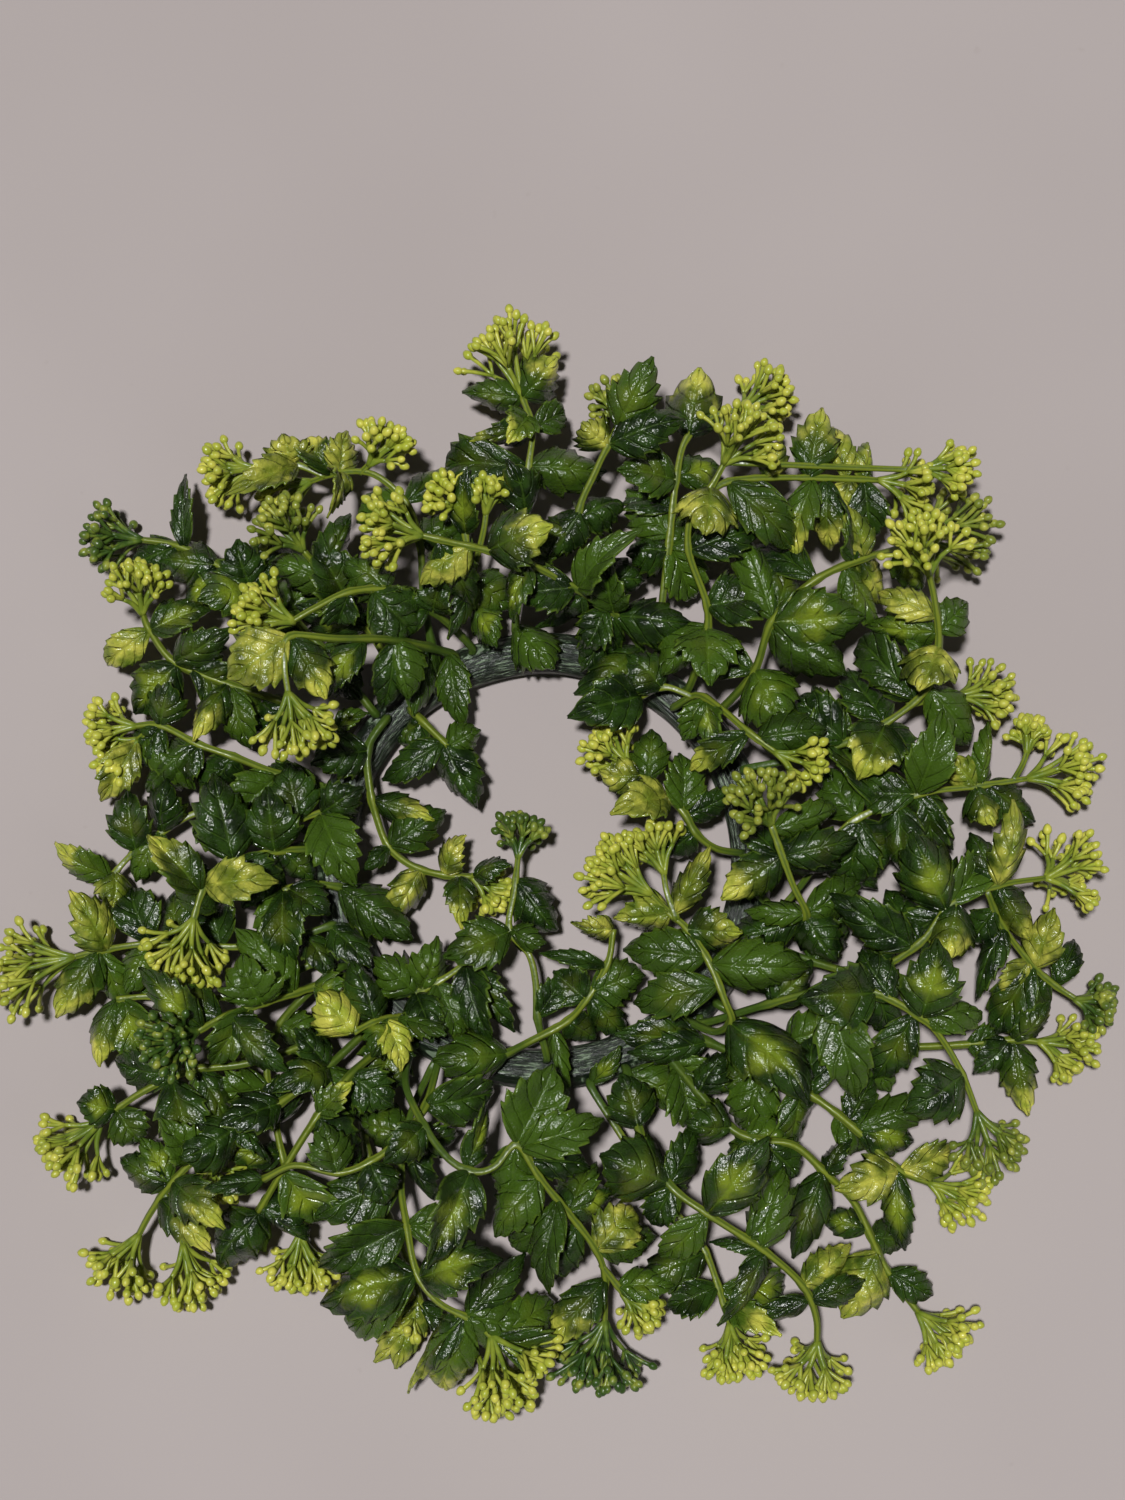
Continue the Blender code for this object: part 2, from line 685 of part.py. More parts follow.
            (-109, 8, -117, -6, 9, 11, "dark"),
            (-97, 14, -92, 1, 10, 12, "dark"),
        ],
        heads=[],
    ),
    # left, the stem that turns down to a head on its side
    dict(
        stems=[
            [
                (-62, 3, 13), (-76, 2, 22), (-87, -1, 29), (-93.5, -5, 32), (-96, -11, 33),
                (-98, -18, 33),
            ],
        ],
        leaves=[
            (-95, -8, -74, -7, 35, 13, "lime"),
            (-95, -10, -111, 6, 33, 14, "tip"),
            (-87, -1, -93, 24, 28, 16, "dark"),
            (-76, 2, -78, 20, 27, 15, "dark"),
            (-77, 2, -85, -14, 24, 13, "dark"),
            (-74, 2, -66, -6, 13, 10, "dark"),
            (-86, -1, -74, -8, 18, 12, "dark"),
            (-97, -16, -96, -2, 20, 12, "dark"),
        ],
        heads=[(0, -101, -28, 28, 12, "lime")],
    ),
    # left, the dark head that faces up
    dict(
        stems=[
            [(-56, -33, 13), (-70, -38, 21), (-82, -42, 27), (-90, -45, 30), (-97, -49, 32)],
        ],
        leaves=[
            (-79, -41, -84, -27, 32, 16, "dark"),
            (-70, -38, -87, -20, 24, 14, "dark"),
            (-88, -44, -71, -60, 31, 13, "dark"),
            (-90, -45, -107, -37, 24, 10, "dark"),
            (-95, -48, -113, -31, 20, 11, "blotch"),
            (-82, -42, -94, -58, 22, 11, "dark"),
            (-65, -36, -53, -40, 11, 12, "blotch"),
        ],
        heads=[(0, -104, -52, 38, 11, "dark")],
    ),
    # lower left, out to a head past a pair of small leaves
    dict(
        stems=[
            [
                (-51, -41, 11), (-66, -52, 18), (-84, -58, 21), (-100, -60, 20),
                (-112.5, -65.5, 19), (-121, -71, 17), (-126, -75, 15),
            ],
        ],
        leaves=[
            (-121, -71, -132, -69, 18, 11, "blotch"),
            (-121, -71, -114, -80, 12, 12, "dark"),
            (-105, -62, -98, -86, 22, 14, "dark"),
            (-104, -62, -122, -57, 12, 14, "dark"),
            (-98, -60, -91, -77, 13, 10, "tip"),
            (-97, -60, -88, -78, 13, 12, "dark"),
        ],
        heads=[(0, -136, -84, 13, 11, "lime")],
    ),
    # left, a thin low stem with one hanging pair
    dict(
        stems=[
            [(-60, -27, 9), (-76, -34, 10), (-95, -40, 10), (-112, -39, 11), (-122, -40, 12)],
        ],
        leaves=[
            (-122, -40, -127, -59, 10, 10, "tip"),
            (-120, -40, -112, -58, 8, 13, "blotch"),
            (-112, -39, -118, -27, 8, 10, "dark"),
        ],
        heads=[],
    ),
    # lower left, three heads around one yellow leaf
    dict(
        stems=[
            [
                (-47, -45.5, 13), (-61, -59, 19), (-74, -69, 24), (-85, -75, 26), (-97, -84, 24),
                (-105, -92, 21), (-111, -100, 17), (-115, -107, 14),
            ],
            [(-107, -94.5, 20), (-104, -102, 16), (-102, -110, 14)],
            [(-95, -82.5, 24.3), (-93.5, -87, 19)],
        ],
        leaves=[
            (-105, -92, -120, -85, 13, 10, "dark"),
            (-105, -92, -114, -79, 18, 9, "blotch"),
            (-104, -91, -89, -104, 29, 12, "tip"),
            (-108, -96, -93, -111, 22, 10, "tip"),
            (-85, -75, -77, -86, 19, 12, "dark"),
            (-61, -59, -70, -48, 24, 13, "dark"),
            (-61, -59, -54, -74, 21, 13, "dark"),
            (-63, -61, -52, -74, 12, 13, "dark"),
            (-48, -46, -36, -56, 8, 11, "blotch"),
            (-61, -59, -76, -66, 31, 13, "dark"),
            (-74, -69, -90, -75, 35, 14, "dark"),
            (-85, -75, -101, -84, 34, 14, "dark"),
            (-97, -84, -107, -73, 30, 12, "dark"),
        ],
        heads=[
            (0, -122, -117, 12, 11, "lime"), (1, -100, -121, 11, 11, "lime"),
            (2, -91, -94, 14, 7, "lime"),
        ],
    ),
    # lower left, a straight stem that ends in broad dark leaves
    dict(
        stems=[
            [(-42, -51, 13.5), (-53, -60, 26), (-63, -72.5, 30), (-73, -88, 27), (-80, -99.5, 22)],
        ],
        leaves=[
            (-80, -99.5, -91, -116, 12, 14, "dark"),
            (-73, -88, -62, -102, 19, 14, "blotch"),
            (-79, -98, -66, -108, 10, 10, "dark"),
            (-63, -72.5, -52, -86, 20, 14, "dark"),
            (-54, -61, -42, -70, 24, 13, "dark"),
            (-63, -72, -53, -63, 32, 9, "tip"),
            (-42, -51, -50, -67, 8, 14, "dark"),
            (-80, -100, -66, -98, 14, 11, "dark"),
        ],
        heads=[],
    ),
    # lower left, the slender stem with the open head
    dict(
        stems=[
            [
                (-58, -31, 11.5), (-68, -39, 15), (-75, -47, 12), (-79, -58, 10), (-77, -71, 13),
                (-74, -84, 16), (-71, -97, 14), (-69, -107, 13),
            ],
        ],
        leaves=[
            (-76, -75, -75, -61, 27, 14, "dark"),
            (-78, -65, -98, -67, 13, 13, "dark"),
            (-74, -84, -92, -84, 13, 12, "blotch"),
            (-75, -47, -62, -52, 15, 12, "dark"),
        ],
        heads=[(0, -69, -118, 11, 10, "lime")],
    ),
    # lower left, a winding yellow stem over the leaves
    dict(
        stems=[
            [
                (-29, -55, 13.5), (-33, -70, 27), (-40, -79, 33), (-48, -85, 35), (-57, -88, 35),
                (-69, -86, 34), (-78, -90, 31),
            ],
        ],
        leaves=[
            (-78, -90, -95, -93, 30, 9, "dark"),
            (-57, -88, -61, -74, 36, 12, "dark"),
            (-48, -85, -44, -97, 32, 12, "dark"),
            (-33, -70, -14, -66, 16, 15, "dark"),
        ],
        heads=[],
    ),
    # opening, from the left side in an S to a small yellow head
    dict(
        stems=[
            [
                (-45, 40, 13), (-50, 32, 17), (-49.5, 21, 18), (-47.5, 12, 17), (-44, 3.5, 16),
                (-37, -2, 15), (-28, -4.5, 14), (-20, -5, 13),
            ],
        ],
        leaves=[
            (-48.5, 17, -31, 11, 18, 8, "tip"),
            (-44, 3.5, -28, 14, 13, 11, "dark"),
            (-44, 3.5, -51, -3, 19, 5, "dark"),
            (-35, -3, -44, -18, 12, 10, "lime"),
            (-28, -4.5, -22, 7, 17, 9, "lime"),
            (-20, -5, -9, -2, 17, 8, "dark"),
            (-50, 31, -66, 27, 22, 12, "dark"),
            (-24, -5, -23, -20, 18, 9, "tip"),
        ],
        heads=[(0, -13, -10, 10, 6, "lime")],
    ),
    # opening, a short pair of leaves at the upper left
    dict(
        stems=[
            [(-38, 43, 13), (-33, 38, 18), (-27, 32, 19)],
        ],
        leaves=[
            (-29, 33, -19, 15, 13, 14, "dark"),
            (-29, 33, -46, 23, 12, 9, "dark"),
            (-27, 32, -18, 37, 17, 9, "dark"),
            (-34, 40, -42, 35, 10, 13, "dark"),
        ],
        heads=[],
    ),
    # opening, up from the bottom to the small dark head
    dict(
        stems=[
            [
                (1, -56, 13.5), (-1.5, -45, 19), (-2, -35, 21), (-4, -27, 22), (-9.5, -20, 22),
                (-8, -9, 21), (-7, 1, 19),
            ],
        ],
        leaves=[
            (-9, -20.5, -28, -28, 25, 14, "dark"),
            (-9, -20, 1, -24, 25, 7, "dark"),
            (-7.5, -6, 4, -20, 14, 11, "dark"),
            (-2, -45, 6, -33, 15, 8, "dark"),
        ],
        heads=[(0, -6, 9, 17, 8, "dark")],
    ),
    # opening, a short sprig at the lower left
    dict(
        stems=[
            [(-43, -39, 13), (-36, -38, 18), (-28, -34, 20), (-21, -29, 19)],
        ],
        leaves=[
            (-22, -30, -8, -49, 16, 14, "dark"),
            (-34, -37.5, -30, -22, 24, 15, "dark"),
            (-36, -38, -48, -28, 22, 13, "dark"),
            (-30, -35, -24, -52, 17, 12, "dark"),
            (-36, -38, -31, -52, 16, 10, "dark"),
            (-22, -30, -14, -52, 18, 13, "dark"),
        ],
        heads=[],
    ),
    # opening, a stem from the bottom that ends in a yellow leaf
    dict(
        stems=[
            [
                (-14, -57.5, 13.5), (-4, -52, 22), (7, -46, 23), (13, -39, 20), (18.5, -29.5, 22),
                (20, -20, 23),
            ],
        ],
        leaves=[
            (20, -20, 8, -18, 23, 11, "lime"),
            (12.5, -40, 3, -32, 16, 12, "dark"),
            (18, -30.5, -1, -27, 21, 5, "dark"),
            (14, -38, 29, -33, 15, 13, "dark"),
            (7, -46, 15, -51, 15, 8, "dark"),
            (13, -39, 24, -50, 15, 8, "dark"),
            (-10, -55, -31, -57, 10, 14, "dark"),
            (3, -48, 7, -71, 14, 7, "dark"),
        ],
        heads=[],
    ),
    # right side of the opening, two yellow heads over a broad yellow leaf
    dict(
        stems=[
            [
                (42, -46, 13), (49, -49, 22), (53, -46, 29), (51, -40, 32), (46.5, -29, 32),
                (40.5, -20, 30), (36, -16, 29), (30, -10, 31),
            ],
            [(38, -17.5, 29.5), (35, -10, 30), (34, -4, 29)],
        ],
        leaves=[
            (53, -47, 74, -69, 37, 19, "blotch"),
            (36, -16, 20, -17, 28, 15, "lime"),
            (41, -20, 56, -21, 34, 14, "tip"),
            (37, -16, 47, 3, 34, 9, "lime"),
            (47, -30, 75, -31, 26, 15, "dark"),
            (46, -28, 23, -26, 22, 13, "dark"),
            (49, -36, 26, -41, 20, 12, "dark"),
        ],
        heads=[(0, 17, -1, 30, 10, "lime"), (1, 30, 6, 26, 8, "lime")],
    ),
    # right side of the opening, a stem that reaches up and left
    dict(
        stems=[
            [
                (56, 2, 13.5), (49, 3, 20), (43.5, 7, 23), (40, 13, 24), (35, 17.5, 24),
                (28, 23.5, 22), (24, 27, 20),
            ],
        ],
        leaves=[
            (28, 23.5, 16, 25, 22, 10, "lime"),
            (35, 17.5, 19, 12, 24, 12, "lime"),
            (30, 22, 31, 37, 16, 10, "dark"),
            (40, 13, 39, 30, 18, 12, "dark"),
            (41, 12, 55, 20, 20, 9, "dark"),
            (43, 7, 31, 1, 20, 10, "dark"),
        ],
        heads=[(0, 18, 33, 17, 8, "lime")],
    ),
    # right, over the ring, the green head that faces up
    dict(
        stems=[
            [
                (61, -10, 13.5), (71, -19, 24), (74, -16, 32), (70, -8, 37), (66.5, 1, 40),
                (63.5, 9, 42),
            ],
        ],
        leaves=[
            (67, 0, 50, -12, 36, 13, "tip"),
            (67, 0, 88, 5, 34, 11, "dark"),
            (74, -16, 57, -15, 26, 8, "dark"),
            (74, -17, 83, -29, 30, 14, "dark"),
            (72, -18, 52, -24, 20, 12, "dark"),
            (66, 3, 84, -2, 25, 12, "dark"),
            (67, -1, 58, 8, 24, 10, "dark"),
            (74, -16, 90, -7, 20, 11, "dark"),
            (64, 7, 82, 14, 26, 10, "dark"),
        ],
        heads=[(0, 60, 16, 47, 12, "mixed")],
    ),
    # upper right, over the ring, a straight stem to a small yellow head
    dict(
        stems=[
            [(38, 44, 13.5), (44, 46.5, 22), (50, 42.5, 29), (58, 35, 34), (66, 29, 35)],
            [(43, 46, 20.6), (35, 49, 20), (28, 46.5, 18)],
        ],
        leaves=[
            (28, 46.5, 7, 40, 17, 16, "dark"),
            (46, 45, 50, 31, 24, 12, "blotch"),
            (46, 45, 40, 34, 19, 9, "dark"),
            (58, 35, 42, 25, 24, 9, "tip"),
            (60, 33, 80, 36, 26, 12, "dark"),
            (34, 49, 24, 58, 20, 13, "dark"),
        ],
        heads=[(0, 75, 25, 34, 7, "lime")],
    ),
    # left, over the ring, a short sprig of broad leaves
    dict(
        stems=[
            [(-57, 13, 13.5), (-63, 13, 20), (-69, 11, 23)],
        ],
        leaves=[
            (-63, 13, -51, 20, 25, 13, "dark"),
            (-63, 12, -53, -8, 22, 14, "dark"),
            (-69, 11, -72, 27, 18, 13, "dark"),
        ],
        heads=[],
    ),
    # left, another short sprig below it
    dict(
        stems=[
            [(-58.5, -8, 13), (-66, -7, 19), (-74, -9, 22)],
        ],
        leaves=[
            (-72, -9, -60, -16, 26, 13, "dark"),
            (-58, -9, -37, -23, 15, 13, "dark"),
            (-74, -9, -84, -22, 17, 12, "dark"),
            (-74, -9, -70, -30, 8, 12, "dark"),
        ],
        heads=[],
    ),
    # lower left, over the ring, the bright yellow leaf
    dict(
        stems=[
            [(-36, -45, 13.5), (-41, -45, 22), (-47, -46, 28), (-53, -49, 31)],
        ],
        leaves=[
            (-53, -49, -63, -38, 33, 14, "yellow"),
            (-43, -45.5, -48, -56, 29, 12, "blotch"),
            (-41, -45, -27, -50, 24, 7, "dark"),
            (-44, -46, -40, -60, 22, 10, "yellow"),
            (-47, -46, -54, -29, 25, 13, "dark"),
        ],
        heads=[],
    ),
]


def finished(bm):
    """Returns the vertices and faces of a shape, its normals turned outward, and frees it."""
    bmesh.ops.remove_doubles(bm, verts=bm.verts, dist=0.001)
    bmesh.ops.recalc_face_normals(bm, faces=bm.faces)
    bm.verts.index_update()
    points = [v.co.copy() for v in bm.verts]
    faces = [[v.index for v in f.verts] for f in bm.faces]
    bm.free()
    return points, faces


def tube_shape(path, radii):
    """Returns a four-sided tube along the path, closed by flat ends."""
    data = bpy.data.curves.new("stem", "CURVE")
    data.dimensions = "3D"
    data.bevel_depth = 1.0
    data.bevel_resolution = 0
    data.use_fill_caps = True
    spline = data.splines.new("POLY")
    spline.points.add(len(path) - 1)
    for point, place, radius in zip(spline.points, path, radii):
        point.co = (*place, 1.0)
        point.radius = radius
    obj = bpy.data.objects.new("stem", data)
    bpy.context.scene.collection.objects.link(obj)
    graph = bpy.context.evaluated_depsgraph_get()
    mesh = bpy.data.meshes.new_from_object(obj.evaluated_get(graph))
    bm = bmesh.new()
    bm.from_mesh(mesh)
    bpy.data.objects.remove(obj)
    bpy.data.curves.remove(data)
    bpy.data.meshes.remove(mesh)
    return finished(bm)


def ring_shape():
    """Returns the ring's tube, resting on z = 0."""
    bpy.ops.mesh.primitive_torus_add(
        major_segments=RING_STEPS,
        minor_segments=TUBE_STEPS,
        major_radius=RING_RADIUS,
        minor_radius=TUBE_RADIUS,
        location=(0, 0, 0),
    )
    obj = bpy.context.object
    bm = bmesh.new()
    bm.from_mesh(obj.data)
    bpy.data.objects.remove(obj)
    bmesh.ops.translate(bm, verts=bm.verts, vec=(0, 0, FLAT_DROP))
    return finished(bm)


def seated_path(stem, ring_tree):
    """Returns the path of a sprig's main stem, from its seat on the tube."""
    root = Vector(stem[0])
    centre = Vector((root.x, root.y, 0)).normalized() * RING_RADIUS + Vector((0, 0, FLAT_DROP))
    way = (root - centre).normalized()
    skin = ring_tree.ray_cast(centre + way * 3 * TUBE_RADIUS, -way)[0]
    seat = skin + way * SEAT_GAP
    return [seat, seat + way * SEAT_RISE] + [Vector(p) for p in stem[1:]]


def nearest_on(paths, x, y):
    """Returns the point of the stems' centre lines that is nearest (x, y) in plan."""
    best = None
    for path in paths:
        for a, b in zip(path, path[1:]):
            run = Vector((b.x - a.x, b.y - a.y))
            share = 0.0
            if run.length > 0.01:
                share = max(0.0, min(1.0, run.dot(Vector((x - a.x, y - a.y))) / run.length_squared))
            point = a.lerp(b, share)
            away = (point.x - x) ** 2 + (point.y - y) ** 2
            if best is None or away < best[0]:
                best = (away, point)
    return best[1]


def leaf_shape(base, tip, width, swell=0.0):
    """Returns an arched blade from base to tip, made larger all round by swell."""
    along = tip - base
    length = along.length
    along.normalize()
    across = Vector((-along.y, along.x, 0)).normalized()
    up = along.cross(across)
    if up.z < 0:
        up.negate()
    half = width / 2 + swell
    arch = ARCH * length
    bm = bmesh.new()
    rows = []
    for run, side, rise in (
        (0.0, PETIOLE + swell, 0.0),
        (WIDEST_AT * length, half, arch),
        (SHOULDER_AT * length, half * SHOULDER_WIDTH, 0.8 * arch),
    ):
        middle = base + along * run + up * rise
        rows.append([bm.verts.new(middle - across * side), bm.verts.new(middle + across * side)])
    point = bm.verts.new(tip + along * swell)
    for low, high in zip(rows, rows[1:]):
        bm.faces.new((low[0], high[0], high[1], low[1]))
    bm.faces.new((rows[2][0], point, rows[2][1]))
    thick = BLADE + 2 * swell
    bmesh.ops.translate(bm, verts=bm.verts, vec=up * thick / 2)
    made = bmesh.ops.extrude_face_region(bm, geom=list(bm.faces))["geom"]
    bmesh.ops.translate(bm, verts=[v for v in made if isinstance(v, bmesh.types.BMVert)], vec=-up * thick)
    return finished(bm)


def head_shape(neck, front, radius, swell=0.0):
    """Returns a bud head: a cone from the stem's end to its front, closed by a low dome."""
    way = front - neck
    if way.length < 0.5 * radius:
        way = Vector((way.x, way.y, 0.8 * radius))
    way.normalize()
    reach = max((front - neck).length, 0.6 * radius) + swell
    wide = HEAD_WIDE * radius + swell
    bm = bmesh.new()
    bmesh.ops.create_cone(
        bm, cap_ends=True, segments=HEAD_SIDES, radius1=HEAD_NECK + swell, radius2=wide, depth=reach
    )
    top = max(bm.faces, key=lambda f: f.calc_center_median().z)
    peak = bmesh.ops.poke(bm, faces=[top])["verts"]
    bmesh.ops.translate(bm, verts=peak, vec=(0, 0, HEAD_DOME * radius + swell))
    turn = way.to_track_quat("Z", "Y").to_matrix()
    bmesh.ops.rotate(bm, verts=bm.verts, cent=(0, 0, 0), matrix=turn)
    bmesh.ops.translate(bm, verts=bm.verts, vec=neck + way * (reach / 2 - 0.6))
    return finished(bm)


def tree_of(shape):
    """Returns the shape as a tree that can be tested against others."""
    return BVHTree.FromPolygons(*shape)


def box_of(shape):
    """Returns the lowest and highest corner of the shape."""
    points = shape[0]
    return [[pick(p[k] for p in points) for k in range(3)] for pick in (min, max)]


def boxes_meet(a, b):
    """Tells whether two boxes share any room."""
    return all(a[0][k] <= b[1][k] and b[0][k] <= a[1][k] for k in range(3))


def meets(shape, others):
    """Tells whether the shape cuts through any of the others."""
    box = box_of(shape)
    near = [tree for other_box, tree in others if boxes_meet(box, other_box)]
    return bool(near) and any(tree_of(shape).overlap(tree) for tree in near)


def settled_leaf(leaf, paths, others):
    """Returns the leaf's base, tip and width at the first place where it is clear, or None."""
    x, y, tip_x, tip_y, tip_z, width = leaf[:6]
    base = nearest_on(paths, x, y)
    for share in WIDTHS:
        for swing in SWINGS:
            for shift in TIP_SHIFTS:
                reach = Vector((tip_x - base.x, tip_y - base.y))
                reach.rotate(Matrix.Rotation(math.radians(swing), 2))
                tip = Vector((base.x + reach.x, base.y + reach.y, tip_z + shift))
                shape = leaf_shape(base, tip, width * share, CLEAR)
                if box_of(shape)[0][2] < LOWEST - CLEAR:
                    continue
                if not meets(shape, others):
                    return base, tip, width * share
    return None


def laid_out(ring):
    """Returns every sprig with its stem paths, its heads and its settled leaves."""
    ring_tree = tree_of(ring)
    sprigs = []
    for row in SPRIGS:
        paths = [seated_path(row["stems"][0], ring_tree)]
        paths += [[Vector(p) for p in branch] for branch in row["stems"][1:]]
        for path in paths[1:]:
            path[0] = nearest_on(paths[:1], path[0].x, path[0].y)
        radii = []
        for number, path in enumerate(paths):
            thick = BRANCH_ROOT if number else STEM_ROOT
            last = len(path) - 1
            radii.append([thick + (STEM_END - thick) * k / last for k in range(last + 1)])
        heads = [(paths[n][-1], Vector((x, y, z)), r, shade) for n, x, y, z, r, shade in row["heads"]]
        sprigs.append({"paths": paths, "radii": radii, "heads": heads, "leaves": []})
    firm = []
    for sprig in sprigs:
        shapes = [tube_shape(path, radii) for path, radii in zip(sprig["paths"], sprig["radii"])]
        shapes += [head_shape(neck, front, radius) for neck, front, radius, _ in sprig["heads"]]
        sprig["firm"] = shapes
        firm.append([(box_of(s), tree_of(s)) for s in shapes])
    leaves = [[] for _ in sprigs]
    for number, (row, sprig) in enumerate(zip(SPRIGS, sprigs)):
        others = [(box_of(ring), ring_tree)]
        for other in range(len(sprigs)):
            if other != number:
                others += firm[other] + leaves[other]
        for leaf in row["leaves"]:
            settled = settled_leaf(leaf, sprig["paths"], others)
            if settled is None:
                sprig["leaves"].append(None)
                continue
            sprig["leaves"].append((*settled, leaf[6]))
            shape = leaf_shape(*settled)
            leaves[number].append((box_of(shape), tree_of(shape)))
    return sprigs


def mesh_object(name, shape, material, collection):
    """Makes one object of the shape, in metres."""
    points, faces = shape
    mesh = bpy.data.meshes.new(name)
    mesh.from_pydata([p * MM for p in points], [], faces)
    mesh.materials.append(material)
    obj = bpy.data.objects.new(name, mesh)
    collection.objects.link(obj)
    return obj


def moulded(name, shapes, material, collection):
    """Makes one object that is the union of the shapes."""
    body = mesh_object(name, shapes[0], material, collection)
    if len(shapes) == 1:
        return body
    pieces = bpy.data.collections.new(name + "_pieces")
    bpy.context.scene.collection.children.link(pieces)
    for number, shape in enumerate(shapes[1:]):
        mesh_object(f"{name}_piece_{number}", shape, material, pieces)
    union = body.modifiers.new("union", "BOOLEAN")
    union.operation = "UNION"
    union.solver = "EXACT"
    union.operand_type = "COLLECTION"
    union.collection = pieces
    graph = bpy.context.evaluated_depsgraph_get()
    whole = bpy.data.meshes.new_from_object(body.evaluated_get(graph))
    body.modifiers.clear()
    body.data = whole
    for piece in list(pieces.objects):
        bpy.data.objects.remove(piece)
    bpy.data.collections.remove(pieces)
    return body


def placed(obj, origin, holder):
    """Moves the object's origin, keeps its shape where it is, and hangs it on the holder."""
    obj.data.transform(Matrix.Translation(-origin * MM))
    obj.location = origin * MM
    obj.parent = holder


def plastic(name, colour, roughness):
    """Makes a plain plastic."""
    material = bpy.data.materials.new(name)
    material.use_nodes = True
    shader = material.node_tree.nodes["Principled BSDF"]
    shader.inputs["Base Color"].default_value = (*colour, 1.0)
    shader.inputs["Roughness"].default_value = roughness
    shader.inputs["Metallic"].default_value = 0.0
    return material


def build():
    """Builds the ring and every sprig as one object each."""
    for obj in list(bpy.data.objects):
        bpy.data.objects.remove(obj)
    model = bpy.data.collections.new(NAME)
    bpy.context.scene.collection.children.link(model)
    holder = bpy.data.objects.new(NAME, None)
    model.objects.link(holder)
    ring = ring_shape()
    sprigs = laid_out(ring)
    ring_plastic = plastic("ring_plastic", (0.010, 0.055, 0.028), 0.35)
    base = mesh_object("ring_base", ring, ring_plastic, model)
    base.data.shade_smooth()
    placed(base, Vector((0, 0, FLAT_DROP)), holder)
    foliage_plastic = plastic("foliage_plastic", (0.045, 0.16, 0.02), 0.4)
    for number, sprig in enumerate(sprigs, 1):
        blades = [leaf_shape(*leaf[:3]) for leaf in sprig["leaves"] if leaf]
        body = moulded(f"sprig_{number:02d}", sprig["firm"] + blades, foliage_plastic, model)
        placed(body, sprig["paths"][0][0], holder)


build()
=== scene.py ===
"""Looks for the candle ring: fine leaves, noded stems, branched bud heads and a grained ring."""

import math
import random
from types import SimpleNamespace

import bmesh
import bpy
import numpy as np
from mathutils import Matrix, Vector
from mathutils.bvhtree import BVHTree


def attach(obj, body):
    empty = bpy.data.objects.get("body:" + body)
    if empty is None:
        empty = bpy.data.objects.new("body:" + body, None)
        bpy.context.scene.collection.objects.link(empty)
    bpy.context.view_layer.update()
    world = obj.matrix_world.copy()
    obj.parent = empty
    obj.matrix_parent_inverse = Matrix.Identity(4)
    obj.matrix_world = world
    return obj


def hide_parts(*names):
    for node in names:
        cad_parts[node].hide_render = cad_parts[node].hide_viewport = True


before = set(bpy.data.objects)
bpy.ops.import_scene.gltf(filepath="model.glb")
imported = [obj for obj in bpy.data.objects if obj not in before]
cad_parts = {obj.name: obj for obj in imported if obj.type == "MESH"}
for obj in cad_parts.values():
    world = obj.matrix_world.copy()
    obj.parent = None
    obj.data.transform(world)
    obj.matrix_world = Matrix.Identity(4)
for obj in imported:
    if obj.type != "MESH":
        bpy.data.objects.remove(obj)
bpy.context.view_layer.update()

MM = 0.001

# The same sizes as the CAD model, in millimetres.
RING_RADIUS = 60.0
TUBE_RADIUS = 6.0
RING_STEPS = 40
TUBE_STEPS = 10
FLAT_DROP = 5.7063
SEAT_GAP = 0.3
SEAT_RISE = 4.0
STEM_ROOT = 1.35
STEM_END = 1.0
BRANCH_ROOT = 1.1
BLADE = 1.0
PETIOLE = 0.8
WIDEST_AT = 0.4
SHOULDER_AT = 0.76
SHOULDER_WIDTH = 0.72
ARCH = 0.09
CLEAR = 0.35
LOWEST = 0.5
HEAD_SIDES = 6
HEAD_NECK = 1.3
HEAD_WIDE = 0.92
HEAD_DOME = 0.8
TIP_SHIFTS = (0, 3, -3, 6, -6, 9, -9, 12, -12, 16, -16)
SWINGS = (0, 9, -9, 18, -18)
WIDTHS = (1.0, 0.82, 0.66, 0.5)

SPRIGS = []


def add_sprig(stems, leaves, heads=()):
    """Lists one sprig, in millimetres from the ring's centre.

    A stem is its points, the main stem first. A leaf is where it leaves the stem in plan, its tip,
    its width and its shade, dark unless said. A head is its stem's number, the middle of its
    front, its radius and its shade, lime unless said.
    """
    SPRIGS.append(
        {
            "stems": stems,
            "leaves": [(*leaf, "dark")[:7] for leaf in leaves],
            "heads": [(*head, "lime")[:6] for head in heads],
        }
    )


# top, the head that faces left over the upper side of the ring
add_sprig(
    [[(29, 61, 14), (20, 70, 25), (9, 76, 34), (-4, 82, 41), (-15, 85, 45), (-25, 87, 47),
      (-34, 89, 48)]],
    [(-15, 85, 3, 91, 52, 15, "tip"), (-20, 86, -34, 76, 40, 12, "lime"), (9, 76, -7, 73, 33, 12),
     (10, 76, 28, 91, 45, 12), (20, 70, 18, 86, 33, 11), (21, 69, 42, 67, 24, 12),
     (-4, 82, -8, 66, 34, 11, "blotch"), (12, 74, -2, 66, 19, 13), (18, 71, 12, 60, 22, 11),
     (29, 61, 9, 47, 19, 14), (20, 70, 11, 54, 16, 13), (-29, 88, -20, 72, 29, 12)],
    [(0, -44, 91, 50, 12)],
)
# top, straight up to the highest head
add_sprig(
    [[(-8, 67, 14), (-7, 80, 22), (-5, 96, 27), (-4, 111, 29), (-3, 122, 28), (-6, 132, 26)]],
    [(-4, 111, -28, 112, 20, 13), (-4, 111, 18, 111, 20, 13), (-5, 97, -10, 111, 34, 11),
     (-3, 122, 6, 128, 18, 9), (-3, 123, -25, 117, 27, 12, "tip"), (-4, 126, -10, 117, 33, 10, "tip"),
     (-6, 131, -23, 134, 20, 10), (-6, 131, 4, 143, 27, 13, "tip"), (-7, 84, 8, 96, 26, 11),
     (-8, 67, 3, 54, 20, 13)],
    [(0, -10, 148, 24, 12)],
)
